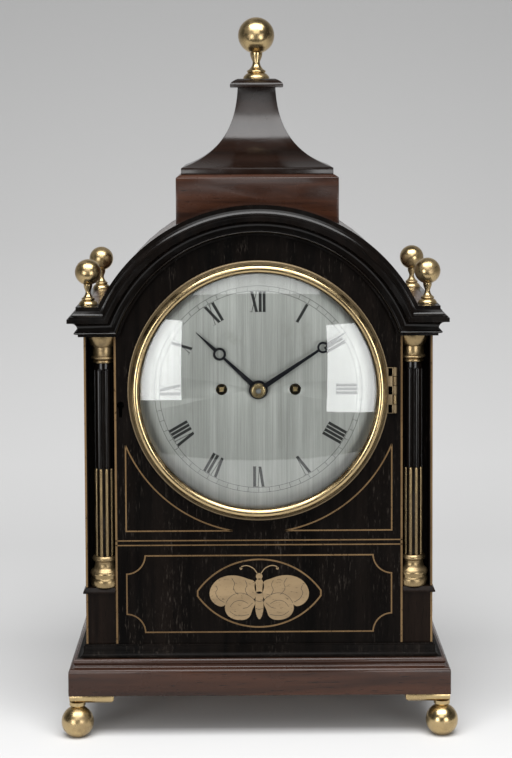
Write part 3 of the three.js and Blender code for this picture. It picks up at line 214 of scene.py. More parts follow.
def tidy_normals(piece, merge=0.002 * MM):
    edit_all(piece)
    bpy.ops.mesh.remove_doubles(threshold=merge)
    bpy.ops.mesh.delete_loose(use_verts=True, use_edges=True, use_faces=False)
    bpy.ops.mesh.select_all(action="SELECT")
    bpy.ops.mesh.normals_make_consistent(inside=False)
    leave_edit()


def applied(piece, kind, **settings):
    """Adds one modifier, sets it and applies it."""
    hold(piece)
    bpy.ops.object.modifier_add(type=kind)
    modifier = piece.modifiers[-1]
    for key, value in settings.items():
        setattr(modifier, key, value)
    bpy.ops.object.modifier_apply(modifier=modifier.name)
    return piece


def carved(piece, cutter):
    """Takes the cutter out of a piece."""
    applied(piece, "BOOLEAN", operation="DIFFERENCE", object=cutter, solver="EXACT")
    bpy.data.objects.remove(cutter)
    tidy_normals(piece)


def softened(piece, width, segments=2, angle=30):
    return applied(piece, "BEVEL", width=width, segments=segments, limit_method="ANGLE",
                   angle_limit=math.radians(angle), harden_normals=False)


def smooth(piece, angle=35):
    hold(piece)
    bpy.ops.object.shade_smooth_by_angle(angle=math.radians(angle))


def joined(name, pieces):
    nothing_selected()
    for piece in pieces:
        piece.select_set(True)
    bpy.context.view_layer.objects.active = pieces[0]
    bpy.ops.object.join()
    whole = bpy.context.object
    whole.name = whole.data.name = name
    return whole


def copied(piece, name, move=(0, 0, 0), matrix=None):
    """A copy with its own mesh, moved or mirrored in its mesh."""
    twin = bpy.data.objects.new(name, piece.data.copy())
    twin.data.name = name
    bpy.context.collection.objects.link(twin)
    place = Matrix.Translation(move) @ (matrix or Matrix.Identity(4))
    twin.data.transform(place)
    if place.determinant() < 0:
        twin.data.flip_normals()
    return twin


MIRROR_X = Matrix.Scale(-1, 4, (1, 0, 0))


# %% Helpers for outlines
def arc(x, z, radius, start, end, steps):
    """Points of a circle's arc, angles in degrees."""
    angles = [math.radians(start + (end - start) * i / steps) for i in range(steps + 1)]
    return [(x + radius * math.cos(a), z + radius * math.sin(a)) for a in angles]


def curve(start, control, end, steps=6):
    """Points of a quadratic curve without its first point."""
    out = []
    for i in range(1, steps + 1):
        t = i / steps
        out.append(tuple((1 - t) ** 2 * a + 2 * t * (1 - t) * c + t * t * b
                         for a, c, b in zip(start, control, end)))
    return out


def path(*legs):
    """A line whose legs are points, or (control, end, steps) where it curves."""
    points = []
    for leg in legs:
        points += curve(points[-1], *leg) if isinstance(leg[0], tuple) else [leg]
    return points


def scaled(shares, across, rise, foot=0):
    return [(across * a, foot + rise * b) for a, b in shares]


def front(points, y):
    return [(x, y, z) for x, z in points]


def slab(name, points, y0, y1):
    """A front view outline given a thickness from y0 at the front to y1 at the back."""
    piece = drawn(name, front(points, y0))
    edit_all(piece, "FACE")
    bpy.ops.mesh.extrude_region_move(TRANSFORM_OT_translate={"value": (0, y1 - y0, 0)})
    leave_edit()
    tidy_normals(piece)
    return piece


def turned(name, outline, centre, axis="Z", steps=64):
    """An outline of (radius, height) points spun about the axis through the centre."""
    along = Vector((0, 0, 1)) if axis == "Z" else Vector((0, 1, 0))
    centre = Vector(centre)
    points = [centre + Vector((r, 0, 0)) + along * h for r, h in outline]
    piece = drawn(name, points, filled=False)
    edit_all(piece, "EDGE")
    bpy.ops.mesh.spin(steps=steps, angle=2 * math.pi, center=centre, axis=along)
    leave_edit()
    tidy_normals(piece)
    return piece


def rod(name, radius, start, end, centre, axis="Z", steps=24):
    return turned(name, [(0, start), (radius, start), (radius, end), (0, end)], centre, axis, steps)


def framed(name, points, y0, y1, width):
    """A line of even width along an outline: the outline is inset and its middle taken out."""
    piece = drawn(name, front(points, y0))
    edit_all(piece, "FACE")
    bpy.ops.mesh.inset(thickness=width, use_even_offset=True)
    bpy.ops.mesh.delete(type="FACE")
    bpy.ops.mesh.select_all(action="SELECT")
    bpy.ops.mesh.extrude_region_move(TRANSFORM_OT_translate={"value": (0, y1 - y0, 0)})
    leave_edit()
    tidy_normals(piece)
    return piece


print("helpers ready")

# %% [markdown]
# ## Writing finishes as sums
#
# A finish is a small network of nodes. To keep it readable, a socket is wrapped so that plus, minus
# and times add the Math nodes, and every other node comes from one method. All the patterns read
# Object coordinates. Every piece has its origin at the clock's, so the grain runs on from piece to
# piece in real sizes.

# %% A socket that can be added and multiplied
class Signal:
    def __init__(self, finish, socket):
        self.finish, self.socket = finish, socket

    def maths(self, operation, *values):
        return self.finish.node("ShaderNodeMath", {"operation": operation}, dict(enumerate(values)))

    def __add__(self, other):
        return self.maths("ADD", self, other)

    def __sub__(self, other):
        return self.maths("SUBTRACT", self, other)

    def __rsub__(self, other):
        return self.maths("SUBTRACT", other, self)

    def __mul__(self, other):
        return self.maths("MULTIPLY", self, other)

    __radd__ = __add__
    __rmul__ = __mul__

    def between(self, low_edge, high_edge):
        """0 below the low edge, 1 above the high one, with a soft step."""
        inputs = {"Value": self, "From Min": low_edge, "From Max": high_edge}
        return self.finish.node("ShaderNodeMapRange", {"interpolation_type": "SMOOTHSTEP"}, inputs)


finishes = {}


class Finish:
    """One material: a Principled shader and the nodes that vary it."""

    def __init__(self, name, **constants):
        self.material = bpy.data.materials.new(name)
        self.material.use_nodes = True
        finishes[name] = self.material
        self.nodes = self.material.node_tree.nodes
        self.links = self.material.node_tree.links
        self.shader = self.nodes["Principled BSDF"]
        for key, value in constants.items():
            self.shader.inputs[key.replace("_", " ")].default_value = value

    def node(self, kind, settings=None, inputs=None, output=0):
        made = self.nodes.new(kind)
        for key, value in (settings or {}).items():
            if key == "stops":
                ramp = made.color_ramp
                while len(ramp.elements) < len(value):
                    ramp.elements.new(1)
                for element, (position, colour) in zip(ramp.elements, value):
                    element.position, element.color = position, (*colour, 1)
            else:
                setattr(made, key, value)
        for key, value in (inputs or {}).items():
            if isinstance(value, Signal):
                self.links.new(value.socket, made.inputs[key])
            else:
                made.inputs[key].default_value = value
        return Signal(self, made.outputs[output])

    def place(self, stretch=(1, 1, 1)):
        """Object coordinates in millimetres, stretched along the grain."""
        here = self.node("ShaderNodeTexCoord", output="Object")
        scale = [1000 * s for s in stretch]
        return self.node("ShaderNodeVectorMath", {"operation": "MULTIPLY"}, {0: here, 1: scale})

    def along(self, axis):
        """One of the Object coordinates, in metres."""
        here = self.node("ShaderNodeTexCoord", output="Object")
        return self.node("ShaderNodeSeparateXYZ", None, {0: here}, axis)

    def noise(self, place, scale, detail=3, roughness=0.5, distortion=0):
        return self.node("ShaderNodeTexNoise", None, {
            "Vector": place, "Scale": scale, "Detail": detail,
            "Roughness": roughness, "Distortion": distortion})

    def mix(self, share, first, second):
        """Two colours mixed by a share."""
        inputs = {0: share}
        for key, value in ((6, first), (7, second)):
            inputs[key] = (*value, 1) if isinstance(value, tuple) else value
        return self.node("ShaderNodeMix", {"data_type": "RGBA"}, inputs, output=2)

    def colour(self, value):
        self.links.new(value.socket, self.shader.inputs["Base Color"])

    def roughness(self, value):
        self.links.new(value.socket, self.shader.inputs["Roughness"])

    def bump(self, height, distance, strength=1):
        raised = self.node("ShaderNodeBump", None, {
            "Height": height, "Distance": distance * MM, "Strength": strength})
        self.links.new(raised.socket, self.shader.inputs["Normal"])

    def surface(self, shader):
        self.links.new(shader.socket, self.nodes["Material Output"].inputs["Surface"])


print("finishes can be written")

# %% [markdown]
# ## Polished wood
#
# The case is mahogany. Its front, columns and cornice are stained black, and the plinth, roof and top
# keep a dark red brown; the bell top has a darker copy of that brown, which is painted shade. Under
# the polish the grain shows as long streaks with short dark pores, so a stretched noise gives the
# streaks, a finer one the pores, and the coat of polish stays smooth above them with a few dull
# patches of wear.

# %% Wood finishes
def polished_wood(name, dark, light, grain, gloss, coat, figure=0.35, shine=0.3, fleck=0.0):
    wood = Finish(name, Metallic=0, Coat_Weight=coat, Coat_Roughness=0.08, Specular_IOR_Level=shine)
    streak = wood.noise(wood.place(grain), 0.09, 5, 0.62, 0.6)
    ribbon = wood.noise(wood.place(tuple(0.35 * s for s in grain)), 0.05, 2, 0.5, 0.3)
    pores = wood.noise(wood.place(tuple(3.2 * s for s in grain)), 0.4, 2, 0.6)
    tone = streak.between(0.3, 0.72) * (1 - figure) + ribbon.between(0.35, 0.7) * figure
    pore = pores.between(0.62, 0.7)
    body = wood.mix(tone, dark, light)
    body = wood.mix(pore * 0.75, body, tuple(0.35 * c for c in dark))
    if fleck:
        dashes = wood.noise(wood.place((1, 1, 0.13)), 0.85, 2, 0.7)
        clouds = wood.noise(wood.place((1, 1, 0.5)), 0.035, 3, 0.6)
        worn_through = dashes.between(0.56, 0.74) * clouds.between(0.35, 0.7) * fleck
        body = wood.mix(worn_through, body, (0.034, 0.028, 0.023))
    wood.colour(body)
    wear = wood.noise(wood.place(), 0.03, 4, 0.6)
    wood.roughness(wear.between(0.35, 0.75) * 0.14 + gloss)
    wood.bump(streak * 0.4 - pore * 0.6, 0.05, 0.35)


UPRIGHT_GRAIN, LEVEL_GRAIN, DEPTH_GRAIN = (1, 1, 0.06), (0.06, 0.35, 1), (1, 0.06, 1)
RED_BROWN = (0.014, 0.0055, 0.0033), (0.058, 0.021, 0.0105)
polished_wood("ebonised", (0.0009, 0.0007, 0.0006), (0.0052, 0.0036, 0.0028),
              UPRIGHT_GRAIN, 0.36, 0, shine=0.04, fleck=0.8)
polished_wood("ebonised_brown", (0.0022, 0.0015, 0.0012), (0.0115, 0.0070, 0.0050),
              UPRIGHT_GRAIN, 0.36, 0, shine=0.05, fleck=0.2)
polished_wood("ebonised_polish", (0.0009, 0.0007, 0.0006), (0.0050, 0.0034, 0.0026),
              UPRIGHT_GRAIN, 0.16, 0.12, shine=0.25)
polished_wood("mahogany", *RED_BROWN, LEVEL_GRAIN, 0.22, 0.15)
polished_wood("mahogany_depth", *RED_BROWN, DEPTH_GRAIN, 0.22, 0.15)
# A darker copy of the mahogany for the bell top: painted shade under the cap.
polished_wood("mahogany_bell_shaded", (0.0030, 0.0016, 0.0011), (0.012, 0.0052, 0.0031),
              LEVEL_GRAIN, 0.16, 0.05, shine=0.36)
polished_wood("stringing", (0.075, 0.045, 0.020), (0.150, 0.095, 0.045),
              (0.5, 1, 0.3), 0.32, 0, 0.5, shine=0.1)
polished_wood("plinth_wood", (0.012, 0.0048, 0.0029), (0.050, 0.0185, 0.0092),
              LEVEL_GRAIN, 0.2, 0.15, shine=0.25)
polished_wood("wing_veneer", (0.135, 0.092, 0.048), (0.235, 0.165, 0.088), (0.25, 1, 0.7), 0.3, 0.2, 0.4)
polished_wood("deal", (0.17, 0.085, 0.036), (0.34, 0.19, 0.085), LEVEL_GRAIN, 0.45, 0)
print("woods:", len(finishes))

# %% [markdown]
# ## Brass, steel and silvering
#
# Old brass that is polished by hand stays bright where the cloth reaches, and turns brown in the
# hollows. Two noises of different size mix a clean and a tarnished colour and dull the roughness
# together, with fine scratches on top. Steel is the same with other colours. The dial is brass
# silvered with a cloth drawn up and down, which leaves upright streaks.

# %% Metal finishes
def worn_metal(name, clean, tarnished, gloss, spots=0.5, scratch=0.25, drawn_out=(1, 1, 1), shade_behind_depth=None):
    metal = Finish(name)
    patches = metal.noise(metal.place(), 0.06, 4, 0.65)
    specks = metal.noise(metal.place(), 0.9, 3, 0.6)
    dull = patches.between(0.42, 0.78) * spots + specks.between(0.55, 0.8) * (0.4 * spots)
    if shade_behind_depth is not None:
        # Behind that depth the metal is darkened and dulled: painted shade where the ring meets the panel.
        painted_shade_mask = metal.along(1).between(shade_behind_depth - 0.4 * MM, shade_behind_depth + 0.4 * MM)
        dull = dull.maths("MAXIMUM", dull, painted_shade_mask * 0.85)
    metal.colour(metal.mix(dull, clean, tarnished))
    lines = metal.noise(metal.place(drawn_out), 2.2, 2, 0.5)
    metal.roughness(dull * 0.22 + lines * 0.1 + gloss)
    metal.links.new((1 - dull * 0.45).socket, metal.shader.inputs["Metallic"])
    metal.bump(lines, 0.01, scratch)


worn_metal("polished_brass", (0.48, 0.36, 0.185), (0.18, 0.12, 0.062), 0.18, 0.85)
worn_metal("cast_brass", (0.30, 0.22, 0.115), (0.09, 0.062, 0.034), 0.24, 0.9)
BEZEL_SHADE_DEPTH = -94.5 * MM  # depth behind which the ring is darkened and dulled, painted shade next to the panel
worn_metal("bezel_brass", (0.54, 0.405, 0.213), (0.075, 0.052, 0.028), 0.15, 0.5,
           shade_behind_depth=BEZEL_SHADE_DEPTH)
worn_metal("dull_brass", (0.22, 0.162, 0.085), (0.08, 0.054, 0.029), 0.27, 0.8)
worn_metal("movement_brass", (0.74, 0.55, 0.28), (0.62, 0.44, 0.21), 0.22, 0.4, 0.3, (1, 1, 0.1))
worn_metal("bell_metal", (0.66, 0.52, 0.33), (0.34, 0.25, 0.15), 0.24, 0.5, 0.3, (0.1, 0.1, 1))
worn_metal("steel", (0.52, 0.52, 0.53), (0.25, 0.22, 0.20), 0.24, 0.4)
worn_metal("blued_steel", (0.030, 0.031, 0.040), (0.050, 0.040, 0.036), 0.24, 0.5)


def silvered_dial():
    dial = Finish("silvered", Metallic=0.35, Specular_IOR_Level=0.3)
    fine = dial.noise(dial.place((1, 1, 0.012)), 1.1, 4, 0.7)
    broad = dial.noise(dial.place((1, 1, 0.03)), 0.13, 3, 0.6, 0.2)
    stains = dial.noise(dial.place(), 0.035, 4, 0.6)
    tone = fine.between(0.25, 0.8) * 0.55 + broad.between(0.3, 0.75) * 0.45
    silver = dial.mix(tone, (0.35, 0.345, 0.325), (0.62, 0.615, 0.59))
    dial.colour(dial.mix(stains.between(0.58, 0.8) * 0.45, silver, (0.27, 0.255, 0.22)))
    dial.roughness(tone * 0.12 + 0.36)
    dial.bump(fine, 0.02, 0.3)


silvered_dial()


def plain_finish(name, colour, second, gloss, scale):
    plain = Finish(name, Metallic=0)
    cloud = plain.noise(plain.place(), scale, 4, 0.6)
    plain.colour(plain.mix(cloud.between(0.3, 0.75), colour, second))
    plain.roughness(cloud * 0.15 + gloss)
    plain.bump(cloud, 0.01, 0.2)


plain_finish("dial_wax", (0.006, 0.006, 0.006), (0.016, 0.015, 0.014), 0.4, 1.5)
plain_finish("shadow_wood", (0.003, 0.002, 0.002), (0.008, 0.005, 0.004), 0.6, 0.8)
print("finishes:", sorted(finishes))

# %% [markdown]
# ## Glass
#
# The convex glass is thin and clear: what shows of it is the reflection of the lamps. A transparent
# shader lets the dial and its light through unbent, and a glossy one is mixed in by Fresnel, so the
# glass mirrors more towards its edge. A faint film of dust dulls it a little.

# %% Clear glass
def clear_glass():
    glass = Finish("clear_glass")
    glass.nodes.remove(glass.shader)
    clear = glass.node("ShaderNodeBsdfTransparent", None, {"Color": (0.97, 0.985, 0.98, 1)})
    film = glass.noise(glass.place(), 0.05, 3, 0.6)
    mirror = glass.node("ShaderNodeBsdfGlossy", None, {"Color": (1, 1, 1, 1), "Roughness": film * 0.03})
    share = glass.node("ShaderNodeFresnel", None, {"IOR": 1.52}) * (film * 0.1 + 0.95)
    glass.surface(glass.node("ShaderNodeMixShader", None, {0: share, 1: clear, 2: mirror}))


clear_glass()
print("glass ready")

# %% [markdown]
# ## Mouldings
#
# A real moulding is planed along its length and mitred where it turns. Here its section is drawn
# once, with its hollows as true curves, and carried from station to station. A station is a rule
# that says where a point of the section goes, so the mitres of the corners and of the arched middle
# come out by themselves. A grid pulled over the stations gives even faces for that.

# %% A section carried through stations
def pulled(name, rows, closed=False):
    """A grid pulled over rows of points. Each row closes on itself, and so do the rows if closed."""
    rows = [row + row[:1] for row in rows]
    if closed:
        rows.append(rows[0])
    piece = primitive("grid", name, x_subdivisions=len(rows[0]) - 1, y_subdivisions=len(rows) - 1, size=MM)
    placed(piece, [point for row in rows for point in row])
    tidy_normals(piece)
    if not closed:
        edit_all(piece)
        bpy.ops.mesh.fill_holes(sides=0)
        leave_edit()
        tidy_normals(piece)
    return piece


def moulding(name, section, stations, closed=False):
    return pulled(name, [[station(*point) for point in section] for station in stations], closed)


def stands_for(piece, finish, node=None, angle=None):
    """Gives a piece its finish. It rides with the node that it stands for, or on the case."""
    if angle:
        smooth(piece, angle)
    piece.data.materials.clear()
    piece.data.materials.append(finishes[finish])
    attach(piece, body_of(frame["nodes"][node])[0] if node else "case")
    if node:
        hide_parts(node)
    return piece


print("mouldings can be carried round")

# %% [markdown]
# ## The plinth
#
# The plinth is a frame of four mitred boards. From below it has a flat face with a rounded lip, a small
# cove under a bead, and a hollow that climbs back to the trunk, given the black finish as painted shade.

# %% The plinth moulding
plinth_reach = high("plinth").x - side_face
plinth_bottom = low("plinth").z
PLINTH_INNER, TOP_REACH, COVE_REACH, EDGE_REACH = -12 * MM, 1.5 * MM, 2.4 * MM, 10.7 * MM
EDGE_BELOW, BEAD_RISE, COVE_BELOW, TOP_FILLET = 10.2 * MM, 4.6 * MM, 5 * MM, 1.2 * MM
FACE_RISE, LIP_ROUND, BEAD_ROUND, LEDGE, TILT = 21.9 * MM, 3.2 * MM, 1.5 * MM, 1.9 * MM, 0.2 * MM
face_top = plinth_bottom + FACE_RISE
edge_high = trunk_bottom - EDGE_BELOW
edge_low = edge_high - BEAD_RISE
bead_root = EDGE_REACH - BEAD_ROUND
plinth_section = path(
    (PLINTH_INNER, plinth_bottom), (plinth_reach, plinth_bottom), (plinth_reach, face_top - LIP_ROUND),
    ((plinth_reach, face_top), (plinth_reach - LIP_ROUND, face_top + TILT)),
    ((bead_root, face_top + 0.3 * MM), (bead_root, edge_low), 5),
    ((EDGE_REACH + 0.5 * MM, (edge_low + edge_high) / 2), (bead_root, edge_high), 8))
plinth_section += curve((EDGE_REACH - LEDGE, edge_high), (COVE_REACH, edge_high + TILT),
                        (COVE_REACH, trunk_bottom - COVE_BELOW), 8)
plinth_section += [(COVE_REACH, trunk_bottom - TOP_FILLET), (TOP_REACH, trunk_bottom - TOP_FILLET),
                   (TOP_REACH, trunk_bottom), (PLINTH_INNER, trunk_bottom)]


def box_corner(sign_x, sign_y):
    return lambda reach, rise: (sign_x * (side_face + reach), sign_y * (-front_face + reach), rise)


plinth = moulding("plinth_moulding", plinth_section,
                  [box_corner(x, y) for x, y in ((-1, -1), (1, -1), (1, 1), (-1, 1))], True)
softened(plinth, 0.35 * MM, 2, 40)
stands_for(plinth, "plinth_wood", "plinth", 30)
# The hollow above the bead takes the black finish as painted shade.
plinth.data.materials.append(finishes["ebonised"])
for face in plinth.data.polygons:
    if face.center.z > edge_high + 0.1 * MM:
        face.material_index = 1
print("plinth:", len(plinth.data.polygons), "faces")

# %% [markdown]
# ## The cornice
#
# The cornice is the finest joinery of the case. It runs level over the columns, turns up and round
# the arch, and comes down to the level again. Every member keeps its own radius round the arch, and
# the mitre lies where that circle meets the level line, which differs a little from member to member.

# %% The cornice mouldings
ARCH_STEPS = 72
ARCH_INNER = 118.5 * MM
arch_drop = cornice_bottom - arch_centre
cornice_section = scaled(path(
    (0, 0), (0.34, 0), (0.34, 0.07), ((0.86, 0.125), (0.36, 0.19)), ((0.34, 0.46), (0.86, 0.47), 8),
    (1, 0.48), (1, 0.62), (0.88, 0.63), (0.88, 0.68), ((0.62, 0.7), (0.56, 0.86)),
    (0.46, 0.87), (0.46, 1), (0, 1)), cornice_reach, cornice_rise)


def cornice_corner(sign):
    return lambda reach, rise: (sign * (side_face + reach), front_face - reach, cornice_bottom + rise)


def cornice_end(sign):
    return lambda reach, rise: (sign * (side_face + reach), -front_face, cornice_bottom + rise)


def arch_station(part):
    def place(reach, rise):
        radius = ARCH_INNER + rise
        start = math.asin((arch_drop + rise) / radius)
        angle = math.pi - start - part * (math.pi - 2 * start)
        return radius * math.cos(angle), front_face - reach, arch_centre + radius * math.sin(angle)
    return place


front_cornice = moulding("cornice_front", cornice_section, [
    cornice_corner(-1), *[arch_station(i / ARCH_STEPS) for i in range(ARCH_STEPS + 1)], cornice_corner(1)])
stands_for(front_cornice, "ebonised_polish", "front_cornice", 30)
for sign, side in ((-1, "left"), (1, "right")):
    run = moulding(f"cornice_{side}", cornice_section, [cornice_corner(sign), cornice_end(sign)])
    softened(run, 0.25 * MM, 2, 40)
    stands_for(run, "ebonised_polish", f"side_cornice_{side}", 30)
print("cornice:", len(front_cornice.data.polygons), "faces")

# %% [markdown]
# ## The roof, its box and the bell top
#
# The roof is a barrel of thin boards bent over the arch. Its box stands on the barrel and carries the
# bell top, a hollow pyramid whose four sides are one and the same curve. That is a turning with four
# steps: the section is spun in four, and its corners become the mitres.

# %% The roof barrel
roof_radius = high("roof").z - arch_centre
shoulder_top = cornice_bottom + cornice_rise
ROOF_THICKNESS = 9 * MM
inner_radius = roof_radius - ROOF_THICKNESS


def roof_bend(level, radius):
    """The arc of the roof that starts and ends at a level."""
    start = math.degrees(math.asin((level - arch_centre) / radius))
    return arc(0, arch_centre, radius, start, 180 - start, ARCH_STEPS)


roof_outline = [(side_face, cornice_bottom), (side_face, shoulder_top), *roof_bend(shoulder_top, roof_radius),
                (-side_face, shoulder_top), (-side_face, cornice_bottom),
                *reversed(roof_bend(cornice_bottom, inner_radius))]
roof = slab("roof_barrel", roof_outline, low("roof").y, high("roof").y)
stands_for(roof, "mahogany_depth", "roof", 30)
print("roof radius", round(roof_radius / MM, 1), "mm")

# %% The box and the bell top
def square_turned(name, outline):
    """A section spun in four steps, so that it becomes a square with mitred corners."""
    piece = turned(name, scaled(outline, math.sqrt(2), 1), (0, 0, 0), "Z", 4)
    piece.data.transform(Matrix.Rotation(math.radians(45), 4, "Z"))
    return piece


box_half, box_low, bell_foot = high("roof_box").x, low("roof_box").z, high("roof_box").z
CHAMFER_DROP, CHAMFER = 2.5 * MM, 3.9 * MM
roof_box = square_turned("box_on_roof", [
    (0, box_low), (box_half, box_low), (box_half, bell_foot - CHAMFER_DROP), (box_half - CHAMFER, bell_foot),
    (0, bell_foot)])
carved(roof_box, primitive("cylinder", "roof_cutter", vertices=192, radius=roof_radius + 0.3 * MM, depth=0.3,
                           location=(0, 0, arch_centre), rotation=(math.pi / 2, 0, 0)))
softened(roof_box, 0.4 * MM, 2, 40)
stands_for(roof_box, "mahogany", "roof_box", 30)

BELL_SLAB_HALF, BELL_SLAB_RISE, BELL_RISE = 62.5 * MM, 5.2 * MM, 66.6 * MM
BELL_NECK_HALF, CAP_HALF, CAP_RISE, CAP_EDGE = 15.9 * MM, 22.3 * MM, 7.2 * MM, 2 * MM
slab_top = bell_foot + BELL_SLAB_RISE
neck_top = slab_top + BELL_RISE
cap_top = neck_top + CAP_RISE


def bell_hollow(steps=28):
    """The hollow side of the bell top, a cubic curve from the slab up to the neck."""
    points = ((BELL_SLAB_HALF, 0), (BELL_SLAB_HALF * 0.59, 0.14), (BELL_NECK_HALF * 1.1, 0.395),
              (BELL_NECK_HALF, 1))
    out = []
    for i in range(steps + 1):
        t = i / steps
        shares = ((1 - t) ** 3, 3 * t * (1 - t) ** 2, 3 * t * t * (1 - t), t ** 3)
        across, rise = (sum(s * p[axis] for s, p in zip(shares, points)) for axis in (0, 1))
        out.append((across, slab_top + BELL_RISE * rise))
    return out


bell_top = square_turned("bell_top_pyramid", path(
    (0, bell_foot), (BELL_SLAB_HALF, bell_foot), *bell_hollow(), (CAP_HALF, neck_top),
    (CAP_HALF, neck_top + CAP_EDGE),
    ((CAP_HALF, neck_top + (CAP_EDGE + CAP_RISE) / 2), (BELL_NECK_HALF, cap_top)), (0, cap_top)))
softened(bell_top, 0.35 * MM)
stands_for(bell_top, "mahogany_bell_shaded", "bell_top", 25)
print("bell top:", round(bell_foot / MM, 1), "to", round(cap_top / MM, 1), "mm")

# %% [markdown]
# ## The columns
#
# Each column is turned, and nine flutes are planed down it. A flute is a round groove that ends in a
# quarter of a ball, so its depth at any point is a sum of squares, and a grid can be pulled over it.
# Brass rods lie in the lower part of the flutes, as they do in stone columns to guard the edges.

# %% A fluted shaft
column_x = side_face - 15.2 * MM
column_y = front_face + 10 * MM
shaft_low, shaft_high = low("column_shaft_left").z, high("column_shaft_left").z
SHAFT_RADIUS, FLUTE_TOP_MARGIN = 7.6 * MM, 4.5 * MM
FLUTES, FLUTE_HALF, FLUTE_DEPTH, PARTS_PER_FLUTE = 9, 1.7 * MM, 1.3 * MM, 14
flute_pitch = 2 * math.pi / FLUTES
flute_end = shaft_high - FLUTE_TOP_MARGIN - FLUTE_HALF


def flute_depth(across, level):
    """Depth of a flute at a distance from its middle line, with its end a quarter of a ball."""
    beyond = max(0, level - flute_end)
    room = 1 - (across ** 2 + beyond ** 2) / FLUTE_HALF ** 2
    return FLUTE_DEPTH * math.sqrt(max(0, room))


def shaft_ring(level):
    ring = []
    for flute in range(FLUTES):
        middle = -math.pi / 2 + flute_pitch * (flute + 0.5)
        for part in range(PARTS_PER_FLUTE):
            turn = (part / PARTS_PER_FLUTE - 0.5) * flute_pitch
            radius = SHAFT_RADIUS - flute_depth(turn * SHAFT_RADIUS, level)
            ring.append((column_x + radius * math.cos(middle + turn),
                         column_y + radius * math.sin(middle + turn), level))
    return ring


end_levels = [flute_end + FLUTE_HALF * math.sin(math.radians(10 * i)) for i in range(10)]
shaft = pulled("fluted_shaft_right", [shaft_ring(level) for level in (shaft_low, *end_levels, shaft_high)])
smooth(shaft, 40)
print("shaft:", len(shaft.data.polygons), "faces")

# %% The brass rods in the flutes
ROD_RADIUS, ROD_RISE, ROD_SINK = 1.55 * MM, 72 * MM, 0.75 * MM
rod_outline = [(0, shaft_low), (ROD_RADIUS, shaft_low),
               *arc(0, shaft_low + ROD_RISE - ROD_RADIUS, ROD_RADIUS, 0, 90, 8)]
first_rod = turned("rod", rod_outline, (column_x, column_y - SHAFT_RADIUS + ROD_SINK, 0), "Z", 20)
column = Matrix.Translation((column_x, column_y, 0))
rods = []
for flute in range(FLUTES):
    turn = column @ Matrix.Rotation(flute_pitch * (flute + 0.5), 4, "Z") @ column.inverted()
    rods.append(copied(first_rod, f"rod_{flute}", matrix=turn))
bpy.data.objects.remove(first_rod)
rods = joined("flute_rods_right", rods)
smooth(rods, 40)
print("rods:", FLUTES)

# %% [markdown]
# The bases and capitals are turned brass. They are wider than the recess of the column, so each is
# cut flat where it meets the panel and the side, as the clockmaker filed them.

# %% Brass bases and capitals
pedestal_top = high("pedestal_right").z
RECESS_GAP, RECESS_EDGE, RECESS_DEPTH = 0.3 * MM, 2.7 * MM, 18 * MM
RECESS = (((panel_half + RECESS_GAP, 0, 0), (-1, 0, 0)), ((side_face - RECESS_EDGE, 0, 0), (1, 0, 0)),
          ((0, front_face + RECESS_DEPTH, 0), (0, 1, 0)))


def recessed(name, shares, radius, foot, head):
    """A turned piece cut flat by the walls of the column's recess."""
    piece = turned(name, scaled(shares, radius, head - foot, foot), (column_x, column_y, 0))
    for point, normal in RECESS:
        edit_all(piece)
        bpy.ops.mesh.bisect(plane_co=point, plane_no=normal, use_fill=True, clear_outer=True)
        leave_edit()
    tidy_normals(piece)
    softened(piece, 0.15 * MM, 1, 50)
    smooth(piece)
    return piece


BASE_RADIUS, CAPITAL_RADIUS, END_GAP = 12.8 * MM, 13 * MM, 0.3 * MM
base_shares = path((0, 0), (0.93, 0), ((1.02, 0.1), (0.97, 0.24), 8), (0.9, 0.28), (0.93, 0.36),
                   ((1.02, 0.44), (0.86, 0.54), 8), (0.76, 0.58), ((0.62, 0.7), (0.68, 0.82), 8),
                   ((0.92, 0.9), (0.72, 1), 8), (0, 1))
capital_shares = path((0, 0), (0.66, 0), (0.68, 0.06), (0.62, 0.1), ((0.96, 0.18), (0.66, 0.26), 8),
                      (0.68, 0.58), ((0.84, 0.66), (0.98, 0.92), 8), (1, 1), (0, 1))
base = recessed("base_right", base_shares, BASE_RADIUS, pedestal_top, shaft_low - END_GAP)
capital = recessed("capital_cup_right", capital_shares, CAPITAL_RADIUS, shaft_high + END_GAP, cornice_bottom)
for piece, stem, slot, finish, node in (
        (shaft, "fluted_shaft", "ebonised_wood", "ebonised_polish", "column_shaft"),
        (rods, "flute_rods", "polished_brass", "dull_brass", None),
        (base, "base", "polished_brass", "cast_brass", "column_base"),
        (capital, "capital_cup", "polished_brass", "cast_brass", "capital")):
    mirrored = copied(piece, f"{stem}_left", matrix=MIRROR_X)
    for made, side in ((piece, "right"), (mirrored, "left")):
        stands_for(made, finish, node and f"{node}_{side}")
print("columns dressed")

# %% [markdown]
# The pedestals and the corner plates keep the model's shape. What they lack is the small round that
# sandpaper and cloth leave on every edge, which catches the light. A copy of the node is merged, its
# flat triangles are dissolved and its edges are bevelled.

# %% Square pieces with softened edges
def eased(node, name, width, finish):
    piece = copied(frame["nodes"][node], name)
    tidy_normals(piece)
    edit_all(piece)
    bpy.ops.mesh.dissolve_limited(angle_limit=math.radians(1))
    leave_edit()
    softened(piece, width)
    return stands_for(piece, finish, node, 35)


CORNERS = ("front_left", "front_right", "back_left", "back_right")
for side in ("left", "right"):
    eased(f"pedestal_{side}", f"pedestal_block_{side}", 0.3 * MM, "ebonised_brown")
for corner in CORNERS:
    eased(f"corner_plate_{corner}", f"plate_{corner}", 0.35 * MM, "polished_brass")
print("eased pieces made")

# %% [markdown]
# ## Ball feet and ball finials
#
# These are plain turnings. The outline of each is drawn from its axis outwards and back, with the
# ball as a true arc.

# %% Turned feet and finials
def centre_of(node):
    return (low(node) + high(node)) / 2


